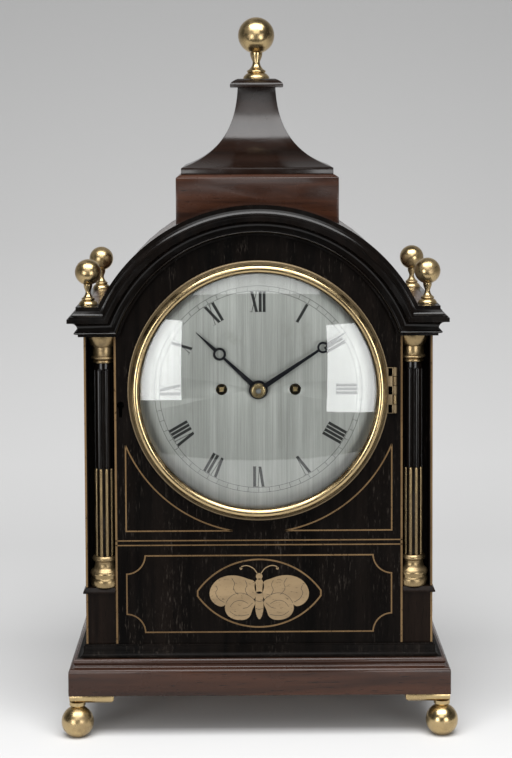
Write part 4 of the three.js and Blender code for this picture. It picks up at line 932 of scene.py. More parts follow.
FOOT_BALL, FOOT_FLAT, FOOT_NECK, NECK_RISE = 13.2 * MM, 5 * MM, 6.6 * MM, 1.5 * MM
foot_top = high("foot_front_left").z
foot_level = math.sqrt(FOOT_BALL ** 2 - FOOT_FLAT ** 2)
flat_angle = math.degrees(math.asin(foot_level / FOOT_BALL))
foot_outline = [(0, 0), *arc(0, foot_level, FOOT_BALL, -flat_angle, flat_angle, 32),
                (FOOT_NECK, 2 * foot_level + NECK_RISE), (FOOT_NECK, foot_top), (0, foot_top)]
foot = turned("foot", foot_outline, (0, 0, 0))


def finial_outline(ball, height):
    """Foot, bead, trumpet waist, collar and ball, all growing with the ball."""
    seat = math.degrees(math.acos(0.34))
    stem = path((0, 0), (0.72, 0), (0.72, 0.07), ((0.62, 0.2), (0.46, 0.24)), ((0.6, 0.31), (0.42, 0.37)),
                ((0.2, 0.5), (0.2, 0.68)), (0.33, 0.92))
    return scaled(stem, ball, height - ball) + arc(0, height, ball, -seat, 90, 28)


BALL, BALL_HEIGHT, TOP_BALL, TOP_HEIGHT = 10.6 * MM, 26.6 * MM, 15.4 * MM, 36.8 * MM
finial = turned("finial", finial_outline(BALL, BALL_HEIGHT), (0, 0, 0))
top_finial = turned("finial_top", finial_outline(TOP_BALL, TOP_HEIGHT), (0, 0, cap_top))
stands_for(top_finial, "polished_brass", "top_finial", 35)
for piece, stem, kind in ((foot, "ball_foot", "foot"), (finial, "ball_finial", "finial")):
    for corner in CORNERS:
        node = f"{kind}_{corner}"
        place = centre_of(node)
        place.z = low(node).z
        made = copied(piece, f"{stem}_{corner}", move=place)
        stands_for(made, "polished_brass", node, 35)
    bpy.data.objects.remove(piece)
print("feet and finials:", 2 * len(CORNERS) + 1)

# %% [markdown]
# ## The dial
#
# The dial is a flat brass disc, silvered, with three holes. The numerals and the minute track are cut
# into it and filled with black wax, which stands level with the metal. Here each stroke is a thin
# plate a few hundredths of a millimetre proud, so it stays crisp from any distance.

# %% The silvered disc
dial_front = low("dial_plate").y
dial_radius = high("dial_plate").x
feet_back = high("dial_plate").y - dial_front
DIAL_THICKNESS, CENTRE_HOLE, WINDING_HOLE, WINDING_OFFSET = 1.5 * MM, 6 * MM, 4.7 * MM, 30 * MM
FOOT_X, FOOT_Z, FOOT_RADIUS, FOOT_EASE = 52 * MM, 47 * MM, 2.5 * MM, 0.4 * MM
disc = rod("dial_disc", dial_radius, 0, DIAL_THICKNESS, (0, dial_front, dial_centre), "Y", 160)
for across, radius in ((0, CENTRE_HOLE), (-WINDING_OFFSET, WINDING_HOLE), (WINDING_OFFSET, WINDING_HOLE)):
    carved(disc, primitive("cylinder", "drill", vertices=48, radius=radius, depth=0.02,
                           location=(across, dial_front, dial_centre), rotation=(math.pi / 2, 0, 0)))
softened(disc, 0.25 * MM, 2, 50)
post = [(0, DIAL_THICKNESS / 2), (FOOT_RADIUS, DIAL_THICKNESS / 2), (FOOT_RADIUS, feet_back - FOOT_EASE),
        (FOOT_RADIUS - FOOT_EASE, feet_back), (0, feet_back)]
feet = [turned("dial_foot", post, (x, dial_front, dial_centre + z), "Y", 20)
        for x in (-FOOT_X, FOOT_X) for z in (-FOOT_Z, FOOT_Z)]
stands_for(joined("dial_disc", [disc, *feet]), "silvered", "dial_plate", 35)
print("dial radius", round(dial_radius / MM, 1), "mm")

# %% [markdown]
# A line let into a surface is drawn as one flat outline. All the lines of one sheet are joined before
# the single extrusion that gives them their thickness.

# %% Flat lines and sheets
def band(points, width):
    """The outline of a line of even width along points, with mitred corners and square ends."""
    points = [Vector(point) for point in points]
    left, right = [], []
    for i, here in enumerate(points):
        before = (here - points[i - 1]).normalized() if i else None
        after = (points[i + 1] - here).normalized() if i + 1 < len(points) else None
        along = ((before or after) + (after or before)).normalized()
        across = Vector((-along.y, along.x)) * (width / 2 / max(0.4, along.dot(after or before)))
        left.append(here + across)
        right.append(here - across)
    return [tuple(point) for point in left + right[::-1]]


def inlay(name, outlines, y0, y1):
    """Flat outlines of a front view, all given the same thickness in one extrusion."""
    sheet = joined(name, [drawn(name, front(outline, y0)) for outline in outlines])
    edit_all(sheet, "FACE")
    bpy.ops.mesh.extrude_region_move(TRANSFORM_OT_translate={"value": (0, y1 - y0, 0)})
    bpy.ops.mesh.select_all(action="SELECT")
    bpy.ops.mesh.normals_make_consistent(inside=False)
    leave_edit()
    return sheet


def block(x0, x1, z0, z1):
    return [(x0, z0), (x1, z0), (x1, z1), (x0, z1)]


print("inlays can be drawn")

# %% [markdown]
# The numerals stand with their feet towards the centre. A pen draws each of them from thick strokes,
# thin ones and hairline serifs. The strokes of X and V lean, and four is written IIII, as clockmakers do.

# %% Roman numerals
NUMERAL_FOOT, NUMERAL_HEAD = 63.5 * MM, 80 * MM
THICK, THIN, HAIR, SERIF_REACH = 2.35 * MM, 0.5 * MM, 0.32 * MM, 1.45 * MM
STROKE_PITCH, LETTER_WIDTH = 3.15 * MM, 6.3 * MM
ADVANCE = {"I": STROKE_PITCH, "V": LETTER_WIDTH + 0.5 * MM, "X": LETTER_WIDTH + 0.5 * MM}
NUMERALS = ("XII", "I", "II", "III", "IIII", "V", "VI", "VII", "VIII", "IX", "X", "XI")
WAX_PROUD, WAX_DEEP = 0.04 * MM, 0.2 * MM


def stroke(foot_x, head_x, width):
    half = width / 2
    return [(foot_x - half, NUMERAL_FOOT), (foot_x + half, NUMERAL_FOOT),
            (head_x + half, NUMERAL_HEAD), (head_x - half, NUMERAL_HEAD)]


def serif(x0, x1, level):
    return block(x0, x1, level - HAIR / 2, level + HAIR / 2)


def letter(kind, x):
    """Outlines of one letter whose cell starts at x."""
    middle = x + ADVANCE[kind] / 2
    if kind == "I":
        return [stroke(middle, middle, THICK),
                serif(middle - SERIF_REACH, middle + SERIF_REACH, NUMERAL_FOOT),
                serif(middle - SERIF_REACH, middle + SERIF_REACH, NUMERAL_HEAD)]
    lean, wide = (LETTER_WIDTH - THICK) / 2, LETTER_WIDTH / 2
    heads = [serif(middle - wide - THIN, middle - THIN, NUMERAL_HEAD),
             serif(middle + wide / 3, middle + wide + THIN, NUMERAL_HEAD)]
    if kind == "V":
        return [stroke(middle + THICK / 4, middle - lean, THICK),
                stroke(middle + THICK / 2, middle + lean, THIN), *heads]
    feet = [serif(middle - wide - THIN, middle - wide / 3, NUMERAL_FOOT),
            serif(middle + THIN, middle + wide + THIN, NUMERAL_FOOT)]
    return [stroke(middle + lean, middle - lean, THICK), stroke(middle - lean, middle + lean, THIN),
            *heads, *feet]


def on_dial(outline, degrees):
    """Turns an outline drawn above the centre clockwise about the dial's centre."""
    angle = math.radians(degrees)
    cos, sin = math.cos(angle), math.sin(angle)
    return [(x * cos + z * sin, dial_centre - x * sin + z * cos) for x, z in outline]


def waxed(name, outlines):
    return inlay(name, outlines, dial_front - WAX_PROUD, dial_front + WAX_DEEP)


strokes = []
for hour, numeral in enumerate(NUMERALS):
    x = -sum(ADVANCE[kind] for kind in numeral) / 2
    for kind in numeral:
        strokes += [on_dial(outline, 30 * hour) for outline in letter(kind, x)]
        x += ADVANCE[kind]
stands_for(waxed("dial_numerals", strokes), "dial_wax")
print("strokes:", len(strokes))

# %% The minute track
TRACK_IN, TRACK_OUT, TRACK_LINE = 80.6 * MM, 84.6 * MM, 0.3 * MM
tick = block(-TRACK_LINE / 2, TRACK_LINE / 2, TRACK_IN, TRACK_OUT)
track = [waxed("track_bars", [on_dial(tick, 6 * minute) for minute in range(60)])]
for radius in (TRACK_IN, TRACK_OUT):
    ring = block(radius, radius + TRACK_LINE, -WAX_PROUD, WAX_DEEP)
    track.append(turned("track_circle", ring, (0, dial_front, dial_centre), "Y", 180))
stands_for(joined("minute_track", track), "dial_wax")
print("minute track drawn")

# %% [markdown]
# ## Bezel, glass and hinge
#
# The bezel is a turned brass ring: a cove at its edge, a round bead that shines, and a short slope to
# the glass. The convex glass sits behind its lip. At the right a leaf of the ring carries three of the
# hinge's five knuckles. The panel's half of the hinge has the other two and the pin.

# %% The bezel ring
BEAD_RADIUS, EDGE_RISE = 3.3 * MM, 2 * MM
bead_middle = bezel_radius - 6.5 * MM
sight = bezel_radius - 10 * MM
spigot_radius = bezel_radius - 6.6 * MM
glass_radius = high("bezel_glass").x
seat_radius = glass_radius + 0.3 * MM
glass_edge = high("bezel_glass").y - 2 * MM
lip_back = glass_edge - 0.8 * MM
bezel_back, spigot_back = front_face - 0.3 * MM, high("bezel").y
bezel_outline = path(
    *arc(bead_middle, lip_back - 0.2 * MM, BEAD_RADIUS, 0, -180, 24),
    (sight, lip_back - 1.2 * MM), (sight, lip_back), (seat_radius, lip_back), (seat_radius, spigot_back),
    (spigot_radius, spigot_back), (spigot_radius, bezel_back), (bezel_radius, bezel_back),
    (bezel_radius, bezel_back - EDGE_RISE),
    ((bezel_radius - 1.4 * MM, bezel_back - 2.2 * MM), (bezel_radius - 1.5 * MM, bezel_back - 3.6 * MM), 5))
bezel_ring = turned("bezel_ring", bezel_outline, (0, 0, dial_centre), "Y", 192)

NOTCH_WIDTH, NOTCH_DEPTH, NOTCH_ABOVE = 6 * MM, 6.2 * MM, 3.1 * MM
notch_rise = centre_of("lock_bolt").z + NOTCH_ABOVE - dial_centre
notch_place = (-seat_radius, (low("lock_bolt").y + spigot_back) / 2, dial_centre)
carved(bezel_ring, primitive("cube", "notch", size=1, location=notch_place,
                             scale=(NOTCH_WIDTH, NOTCH_DEPTH, 2 * notch_rise)))
print("bezel ring:", len(bezel_ring.data.polygons), "faces")

# %% The hinge
KNUCKLES, KNUCKLE_RADIUS, KNUCKLE_GAP, KNUCKLE_EASE = 5, 1.7 * MM, 0.2 * MM, 0.25 * MM
PIN_RADIUS, LEAF_HALF, TANG_HALF = 0.6 * MM, 0.9 * MM, 0.7 * MM
hinge_offset = centre_of("bezel_hinge").x
hinge_line = front_face - 2.2 * MM
leaf_front, leaf_back = hinge_line - LEAF_HALF, hinge_line + LEAF_HALF
hinge_low, hinge_high = low("bezel_hinge").z, high("bezel_hinge").z
knuckle_rise = (hinge_high - hinge_low) / KNUCKLES


def knuckle_ends(place):
    foot = hinge_low + place * knuckle_rise + KNUCKLE_GAP
    return foot, foot + knuckle_rise - 2 * KNUCKLE_GAP


def knuckle(place, bore):
    foot, head = knuckle_ends(place)
    inner, outer = KNUCKLE_RADIUS - KNUCKLE_EASE, KNUCKLE_RADIUS
    outline = [(bore, foot), (inner, foot), (outer, foot + KNUCKLE_EASE), (outer, head - KNUCKLE_EASE),
               (inner, head), (bore, head)]
    return turned("knuckle", outline, (hinge_offset, hinge_line, 0), "Z", 24)


def plate_between(name, *sides):
    """A square plate between two places along x, y and z, its edges softened."""
    corner_low, corner_high = Vector([side[0] for side in sides]), Vector([side[1] for side in sides])
    piece = primitive("cube", name, size=1)
    size = Matrix.Diagonal((*(corner_high - corner_low), 1))
    piece.data.transform(Matrix.Translation((corner_low + corner_high) / 2) @ size)
    return softened(piece, 0.2 * MM)


leaf_sides = (bezel_radius - 3.2 * MM, hinge_offset - KNUCKLE_RADIUS - 0.3 * MM)
moving = [bezel_ring, plate_between("leaf", leaf_sides, (leaf_front, leaf_back), (hinge_low, hinge_high))]
for place in (0, 2, 4):
    moving.append(knuckle(place, PIN_RADIUS + 0.3 * MM))
    moving.append(plate_between("tab", (bezel_radius - MM, hinge_offset - PIN_RADIUS - 0.4 * MM),
                                (leaf_front, leaf_back), knuckle_ends(place)))
stands_for(joined("bezel_ring", moving), "bezel_brass", "bezel", 35)

tang_sides = (hinge_offset - TANG_HALF, hinge_offset + TANG_HALF)
fixed = [knuckle(1, 0), knuckle(3, 0)]
for place in (1, 3):
    fixed.append(plate_between("web", tang_sides, (hinge_line, front_face + 2 * MM), knuckle_ends(place)))
fixed.append(plate_between("tang", tang_sides, (front_face - 0.3 * MM, high("bezel_hinge").y),
                           (hinge_low + knuckle_rise, hinge_high - knuckle_rise)))
fixed.append(rod("pin", PIN_RADIUS, hinge_low, hinge_high, (hinge_offset, hinge_line, 0), steps=16))
stands_for(joined("hinge_on_panel", fixed), "dull_brass", "bezel_hinge", 35)
print("hinge knuckles:", KNUCKLES)

# %% The convex glass
GLASS_RISE, GLASS_THICKNESS = 12 * MM, 2 * MM
sphere = (glass_radius ** 2 + GLASS_RISE ** 2) / (2 * GLASS_RISE)
half_angle = math.degrees(math.asin(glass_radius / sphere))
crown = glass_edge - GLASS_RISE
dome = [(max(0, radius), depth) for radius, depth in arc(0, crown + sphere, sphere, -90, half_angle - 90, 40)]
inside = [(radius, depth + GLASS_THICKNESS) for radius, depth in reversed(dome)]
glass = turned("convex_glass", dome + inside, (0, 0, dial_centre), "Y", 160)
stands_for(glass, "clear_glass", "bezel_glass", 40)
print("glass crown", round(crown / MM, 1), "mm")

# %% [markdown]
# ## The hands
#
# The hands are sawn from thin steel, filed to a taper, pierced with a ring and blued over a flame.
# Each is drawn pointing up, from its boss, stem, ring and point, and then turned to its time.

# %% Pierced hands
HAND_EASE, BITE, RING_BORE = 0.2 * MM, 0.84, 0.64  # how far a stem bites into a ring, and the ring's bore
STEM_FOOT, STEM_HEAD, POINT_FOOT, POINT_TIP = 2.1 * MM, 1.0 * MM, 1.5 * MM, 0.25 * MM
MINUTE_ANGLE, HOUR_ANGLE = 56.5, -47


def washer(outer, inner, rise, y0, y1):
    outline = [(inner, y0), (outer - HAND_EASE, y0), (outer, y0 + HAND_EASE), (outer, y1), (inner, y1)]
    return turned("washer", outline, (0, 0, rise), "Y", 48)


def taper(foot_half, foot_at, head_half, head_at, y0, y1):
    piece = slab("taper", [(-foot_half, foot_at), (foot_half, foot_at), (head_half, head_at),
                           (-head_half, head_at)], y0, y1)
    return softened(piece, min(HAND_EASE, 0.6 * head_half), 1)


def hand(node, boss, bore, ring_at, ring, length, degrees):
    y0, y1 = low(node).y, high(node).y
    piece = joined(f"{node}_pierced", [
        washer(boss, bore, 0, y0, y1),
        taper(STEM_FOOT, boss * BITE, STEM_HEAD, ring_at - ring * BITE, y0, y1),
        washer(ring, ring * RING_BORE, ring_at, y0, y1),
        taper(POINT_FOOT, ring_at + ring * BITE, POINT_TIP, length, y0, y1)])
    turn = Matrix.Rotation(math.radians(degrees), 4, "Y")
    piece.data.transform(Matrix.Translation((0, 0, dial_centre)) @ turn)
    stands_for(piece, "blued_steel", node, 35)


hand("hour_hand", 7.7 * MM, 5.3 * MM, 43 * MM, 5.3 * MM, 69 * MM, HOUR_ANGLE)
hand("minute_hand", 5.6 * MM, 3.5 * MM, 63 * MM, 4.7 * MM, 86 * MM, MINUTE_ANGLE)

COLLET_BORE = 2.3 * MM
collet_front, collet_back = low("hand_collet").y, high("hand_collet").y
collet_radius = high("hand_collet").x
rounding = ((collet_radius - 0.2 * MM, collet_front + 0.3 * MM),
            (collet_radius - 1.6 * MM, collet_front + 0.1 * MM))
collet_outline = path((COLLET_BORE, collet_back), (collet_radius, collet_back),
                      (collet_radius, collet_front + 1.4 * MM), rounding, (COLLET_BORE, collet_front))
collet = turned("collet", collet_outline, (0, 0, dial_centre), "Y", 48)
stands_for(collet, "polished_brass", "hand_collet", 35)
print("hands at", MINUTE_ANGLE, "and", HOUR_ANGLE, "degrees")

# %% [markdown]
# ## Stringing
#
# Thin lines of boxwood are let into the black front. On the real case a groove is cut with a scratch
# stock, the line is glued in and scraped level. Here the lines stand a few hundredths of a millimetre
# proud, which keeps their edges clean. They frame the spandrels, the lower panel and the columns.

# %% Stringing of the spandrels and the middle lines
LINE, MIDDLE_LINE, STRING_PROUD, STRING_DEPTH = 1.15 * MM, 1.0 * MM, 0.06 * MM, 0.5 * MM
string_front, string_back = front_face - STRING_PROUD, front_face + STRING_DEPTH
SPANDREL_X, SPANDREL_FOOT, SPANDREL_ARC = 108.2 * MM, 167.1 * MM, 116.9 * MM
MIDDLE_LEVELS = (159.2 * MM, 155.4 * MM)


def let_in(name, outlines, finish="stringing", proud=STRING_PROUD, back=string_back):
    """Outlines let into the front as one sheet."""
    stands_for(inlay(name, outlines, front_face - proud, back), finish)


start_angle = math.degrees(math.acos(SPANDREL_X / SPANDREL_ARC))
end_angle = math.degrees(math.asin(min(1, (dial_centre - SPANDREL_FOOT) / SPANDREL_ARC)))
spandrel_lines = []
for sign in (-1, 1):
    bend = [(sign * x, z) for x, z in arc(0, dial_centre, SPANDREL_ARC, -start_angle, -end_angle, 40)]
    spandrel_lines.append(bend)
    spandrel_lines.append([(sign * SPANDREL_X, bend[0][1]), (sign * SPANDREL_X, SPANDREL_FOOT),
                           (bend[-1][0], SPANDREL_FOOT)])
let_in("stringing_spandrels", [band(line, LINE) for line in spandrel_lines])
let_in("stringing_middle", [band([(-panel_half, level), (panel_half, level)], MIDDLE_LINE)
                            for level in MIDDLE_LEVELS])
print("spandrel arc from", round(start_angle), "to", round(end_angle), "degrees below the level")

# %% Stringing of the lower panel
PANEL_X, PANEL_FOOT, PANEL_HEAD, PANEL_CORNER = 108.6 * MM, 82.9 * MM, 147.3 * MM, 15.1 * MM
panel_outline = []
for x, z, start in ((PANEL_X, PANEL_HEAD, 180), (-PANEL_X, PANEL_HEAD, 270), (-PANEL_X, PANEL_FOOT, 360),
                    (PANEL_X, PANEL_FOOT, 90)):
    panel_outline += arc(x, z, PANEL_CORNER, start, start + 90, 12)[::-1]
panel_line = framed("stringing_panel", panel_outline, string_front, string_back, LINE)
stands_for(panel_line, "stringing")

NAVETTE_HALF, NAVETTE_RISE, NAVETTE_LEVEL, NAVETTE_LINE = 52.5 * MM, 28.6 * MM, 115.4 * MM, 1.3 * MM
BLUNT = 2.5  # degrees taken from each end of its two arcs
navette_radius = (NAVETTE_HALF ** 2 + NAVETTE_RISE ** 2) / (2 * NAVETTE_RISE)
open_angle = math.degrees(math.asin(NAVETTE_HALF / navette_radius))
navette_sink = NAVETTE_LEVEL + NAVETTE_RISE - navette_radius
sweep = open_angle - BLUNT
navette_outline = arc(0, navette_sink, navette_radius, 90 - sweep, 90 + sweep, 40)
navette_outline += [(-x, 2 * NAVETTE_LEVEL - z) for x, z in navette_outline]
navette = framed("stringing_navette", navette_outline, string_front, string_back, NAVETTE_LINE)
stands_for(navette, "stringing")
print("navette", round(2 * NAVETTE_HALF / MM), "by", round(2 * NAVETTE_RISE / MM), "mm")

# %% [markdown]
# The edges of the front panel, of the columns' side strips and of the pedestals carry square lines
# glued into a rebate. They show on the front and on the side of the edge.

# %% Edge stringing
EDGE_LINE, END_ROOM, PEDESTAL_HEAD, STRIP_FOOT = 1.6 * MM, 0.2 * MM, 4.5 * MM, 0.6 * MM
line_foot, line_head = trunk_bottom + END_ROOM, cornice_bottom - END_ROOM
edge_lines, pedestal_lines = [], []
for sign in (-1, 1):
    inner, outer = (sign * (edge - EDGE_LINE / 2 + STRING_PROUD) for edge in (panel_half, side_face))
    edge_lines += [[(inner, line_foot), (inner, line_head)],
                   [(outer, pedestal_top + STRIP_FOOT), (outer, line_head)]]
    pedestal_lines.append([(outer, line_foot), (outer, pedestal_top - PEDESTAL_HEAD)])
for name, lines in (("stringing_edges", edge_lines), ("stringing_pedestals", pedestal_lines)):
    let_in(name, [band(line, EDGE_LINE) for line in lines], back=front_face + EDGE_LINE)
print("edge lines:", len(edge_lines) + len(pedestal_lines))

# %% [markdown]
# ## The marquetry butterfly
#
# A butterfly is a traditional figure of marquetry. Its wings, body and feelers are sawn from pale
# veneer and let into the middle of the lower panel. This one is drawn here from a few smooth curves. A
# closed smooth curve through chosen points gives each wing, and dark lines mark the cells of the wings.

# %% Smooth outlines through points
def smooth_loop(points, steps=7, closed=True):
    """A smooth curve through points, each stretch a cubic that follows its neighbours."""
    last = len(points) - 1
    out = []
    for i in range(last + closed):
        around = [(i + k) % len(points) if closed else min(max(i + k, 0), last) for k in (-1, 0, 1, 2)]
        p = [points[place] for place in around]
        for step in range(steps):
            t = step / steps
            shares = (-t + 2 * t ** 2 - t ** 3, 2 - 5 * t ** 2 + 3 * t ** 3, t + 4 * t ** 2 - 3 * t ** 3,
                      t ** 3 - t ** 2)
            out.append(tuple(sum(s * q[axis] for s, q in zip(shares, p)) / 2 for axis in (0, 1)))
    return out if closed else out + [points[-1]]


def butterfly_place(points, sign=1):
    return [(sign * x * MM, NAVETTE_LEVEL + z * MM) for x, z in points]


UPPER_WING = [(3.2, 8.4), (9.5, 12.0), (18.5, 14.6), (27.5, 14.2), (35.0, 10.6), (39.8, 4.0), (40.2, -3.2),
              (36.2, -8.8), (30.0, -10.8), (24.0, -6.0), (15.0, -3.0), (4.0, -4.6)]
LOWER_WING = [(3.4, -7.2), (8.0, -2.2), (15.0, 0.2), (22.0, -1.6), (27.0, -7.4), (28.0, -13.6), (25.0, -19.0),
              (19.0, -21.8), (12.6, -22.0), (8.0, -19.4), (5.6, -13.4)]
ABDOMEN = [(-2.4, 0.6), (2.4, 0.6), (3.1, -6.0), (3.3, -12.5), (2.2, -18.5), (0, -21.6), (-2.2, -18.5),
           (-3.3, -12.5), (-3.1, -6.0)]
THORAX = [(-3.9, 6.0), (-2.6, 10.6), (0, 12.2), (2.6, 10.6), (3.9, 6.0), (2.8, 1.0), (0, -0.6), (-2.8, 1.0)]
FEELER = [(1.2, 15.8), (4.6, 20.4), (9.6, 22.8), (14.0, 22.2), (14.9, 20.6)]
FEELER_WIDTH, TIP_RADIUS, HEAD_RADIUS, HEAD_LEVEL = 0.75 * MM, 1.15, 2.7, 14.0
veneer = [butterfly_place(smooth_loop(ABDOMEN)), butterfly_place(smooth_loop(THORAX)),
          butterfly_place(arc(0, HEAD_LEVEL, HEAD_RADIUS, 0, 345, 23))]
for sign in (-1, 1):
    veneer.append(butterfly_place(smooth_loop(UPPER_WING), sign))
    veneer.append(band(butterfly_place(smooth_loop(FEELER, closed=False), sign), FEELER_WIDTH))
    veneer.append(butterfly_place(arc(*FEELER[-1], TIP_RADIUS, 0, 340, 17), sign))
let_in("marquetry_butterfly", veneer, "wing_veneer")
LOWER_PROUD, SAW_PROUD = STRING_PROUD + 0.02 * MM, STRING_PROUD + 0.03 * MM
let_in("marquetry_lower_wings", [butterfly_place(smooth_loop(LOWER_WING), sign) for sign in (-1, 1)],
       "wing_veneer", LOWER_PROUD)
print("veneers:", len(veneer) + 2)

# %% Dark lines on the wings
UPPER_CELLS = [[(35.4, 6.6), (34.2, 3.6), (35.6, 0.4), (33.4, -4.2), (28.6, -7.6)],
               [(22.6, 12.4), (20.2, 8.4), (21.0, 3.4), (17.2, -1.2)],
               [(11.6, 10.8), (10.0, 6.8), (11.4, 2.6), (9.2, -1.8)]]
LOWER_CELLS = [[(9.0, -8.6), (14.6, -6.0), (20.2, -7.0), (24.0, -11.2)],
               [(8.6, -17.6), (14.0, -18.6), (19.4, -18.2), (24.2, -15.0)],
               [(5.4, -8.0), (9.6, -11.6), (13.4, -12.6)]]
BANDS = ((0.4, 2.6), (-6.2, 2.9), (-12.6, 3.0))  # level and half width of the lines across the body
SAW_LINE, BAND_DIP = 0.35 * MM, 0.8
saw_lines = []
for sign in (-1, 1):
    for cell in UPPER_CELLS + LOWER_CELLS:
        saw_lines.append(band(butterfly_place(smooth_loop(cell, closed=False), sign), SAW_LINE))
    outline = smooth_loop(LOWER_WING)
    saw_lines.append(band(butterfly_place(outline[:len(outline) * 2 // 5], sign), SAW_LINE))
for level, half in BANDS:
    saw_lines.append(band(butterfly_place([(-half, level), (0, level - BAND_DIP), (half, level)]), SAW_LINE))
let_in("marquetry_saw_lines", saw_lines, "shadow_wood", SAW_PROUD)
print("saw lines:", len(saw_lines))

# %% [markdown]
# ## The movement
#
# Behind the dial, brass plates hold two barrels, two fusees, the bell and the escapement. Wheels,
# arbors and plates keep the model's shape, because their teeth are already true. The turned pieces
# are spun again on finer profiles: a bell cast in bell metal and turned to a thin lip, barrels with
# the gut line's grooves, a lens of a bob and the knob of the back door.

# %% The bell on its strap
bell_place, strap_low = (centre_of("bell").x, centre_of("bell").y, 0), low("bell").z
NUT_RISE, NUT_RADIUS, POST_RADIUS, STRAP_HALF, STRAP_THICK = 3 * MM, 4 * MM, 3 * MM, 5 * MM, 2.7 * MM
BELL_HEIGHT, BELL_WALL, LIP, LIP_TURNED = 26 * MM, 2 * MM, 2.5 * MM, 0.5 * MM
SEAT = 1 * MM  # how far one piece reaches into the next
crown = high("bell").z - NUT_RISE
mouth = crown - BELL_HEIGHT
bell_radius = high("bell").x


def bell_curve(radius, height, steps=20):
    """Quarter of an ellipse from the crown down to the mouth."""
    angles = [math.pi / 2 * i / steps for i in range(steps + 1)]
    return [(radius * math.sin(angle), mouth + height * math.cos(angle)) for angle in angles]


inside = bell_curve(bell_radius - BELL_WALL, BELL_HEIGHT - BELL_WALL)
outside = [(min(radius, bell_radius - LIP_TURNED) if level > mouth + LIP else radius, level)
           for radius, level in bell_curve(bell_radius, BELL_HEIGHT)]
bell_shell = turned("bell_shell", inside + outside[::-1], bell_place)
post = rod("bell_post", POST_RADIUS, strap_low + SEAT, crown - SEAT, bell_place)
nut = turned("bell_nut", [(0, crown - SEAT), (NUT_RADIUS, crown - SEAT), (NUT_RADIUS, crown + 1.4 * MM),
                          (NUT_RADIUS - 0.8 * MM, crown + 2.2 * MM), (1.4 * MM, crown + NUT_RISE),
                          (0, crown + NUT_RISE)], bell_place, steps=24)
strap = slab("bell_strap", block(-STRAP_HALF, STRAP_HALF, strap_low, strap_low + STRAP_THICK),
             low("movement_front_plate").y, high("movement_back_plate").y)
softened(strap, 0.4 * MM)
bell = joined("bell_on_strap", [bell_shell, post, nut, strap])
stands_for(bell, "bell_metal", "bell", 35)
print("bell:", len(bell.data.polygons), "faces")

# %% [markdown]
# The pendulum hangs on a thin steel spring. Its bob is a brass lens, turned from both sides, and a
# nut below it sets the rate.

# %% The pendulum
PENDULUM_ROD, BOB_RADIUS, BOB_HALF, BOB_RISE, SPRING_RISE = 1.3 * MM, 24 * MM, 5 * MM, 32 * MM, 14.7 * MM
RATING_NUT = ((0, 4), (3.2, 4), (4, 5.2), (3.3, 6), (4, 6.8), (3.2, 8), (0, 8))  # mm from the rod's foot
depth = centre_of("pendulum").y
foot, top = low("pendulum").z, high("pendulum").z
clamp_top = top - SPRING_RISE
lens = [(BOB_RADIUS * math.sin(math.pi * i / 32), -BOB_HALF * math.cos(math.pi * i / 32)) for i in range(33)]
bob = turned("pendulum_bob_lens", lens, (0, depth, foot + BOB_RISE), "Y", 72)
hanging = rod("pendulum_rod", PENDULUM_ROD, foot, clamp_top - SEAT, (0, depth, 0), steps=20)
rating = turned("rating_nut", scaled(RATING_NUT, MM, MM, foot), (0, depth, 0), steps=24)


def bar(name, half, thick, z0, z1):
    return softened(slab(name, block(-half, half, z0, z1), depth - thick / 2, depth + thick / 2), 0.12 * MM)


clamp = bar("suspension_block", 3.5 * MM, 3 * MM, clamp_top - 7 * MM, clamp_top)
spring = bar("suspension_spring", 2.5 * MM, 0.6 * MM, clamp_top - SEAT, top)
pendulum = joined("pendulum_with_bob", [bob, hanging, rating, clamp, spring])
stands_for(pendulum, "movement_brass", "pendulum", 35)
print("pendulum:", len(pendulum.data.polygons), "faces")

# %% [markdown]
# A gut line winds from each barrel onto its fusee. It lies in shallow grooves between the rims.

# %% The barrels
DRUM_RADIUS, RIM_RADIUS, RIM, DRUM_LENGTH, DRUM_SET_BACK = 22 * MM, 23.5 * MM, 2 * MM, 34 * MM, 3.7 * MM
GROOVES, GROOVE_DEPTH, ARBOR_RADIUS, RIM_EASE = 14, 0.5 * MM, 3 * MM, 0.4 * MM


def rim(at):
    """The outline of a rim with both its edges eased."""
    return [(RIM_RADIUS - RIM_EASE, at), (RIM_RADIUS, at + RIM_EASE), (RIM_RADIUS, at + RIM - RIM_EASE),
            (RIM_RADIUS - RIM_EASE, at + RIM)]


for node in ("going_barrel", "strike_barrel"):
    start = low(node).y + DRUM_SET_BACK
    end = start + DRUM_LENGTH
    drum = [(0, start), *rim(start)]
    room = DRUM_LENGTH - 2 * RIM
    for i in range(4 * GROOVES + 1):
        dip = GROOVE_DEPTH * math.sin(math.pi * i / 4) ** 2
        drum.append((DRUM_RADIUS - dip, start + RIM + room * i / (4 * GROOVES)))
    drum += [*rim(end - RIM), (0, end)]
    where = (centre_of(node).x, 0, centre_of(node).z)
    body = turned(node + "_drum", drum, where, "Y")
    arbor = rod(node + "_arbor", ARBOR_RADIUS, low(node).y, high(node).y, where, "Y")
    barrel = joined(node + "_turned", [body, arbor])
    stands_for(barrel, "movement_brass", node, 35)
print("barrels: 2")

# %% The knob of the back door
knob_foot, knob_tip = low("back_door_knob").y, high("back_door_knob").y
knob_radius = (high("back_door_knob").x - low("back_door_knob").x) / 2
knob_shares = path((0, 0), (0.56, 0), (0.56, 0.06), ((0.40, 0.08), (0.36, 0.28), 7),
                   ((0.36, 0.44), (0.80, 0.52), 7), ((1.0, 0.58), (1.0, 0.73), 7), ((1.0, 0.97), (0, 1), 7))
knob = turned("back_door_knob_turned", scaled(knob_shares, knob_radius, knob_tip - knob_foot, knob_foot),
              (centre_of("back_door_knob").x, 0, centre_of("back_door_knob").z), "Y", 48)
stands_for(knob, "polished_brass", "back_door_knob", 35)
print("knob:", len(knob.data.polygons), "faces")

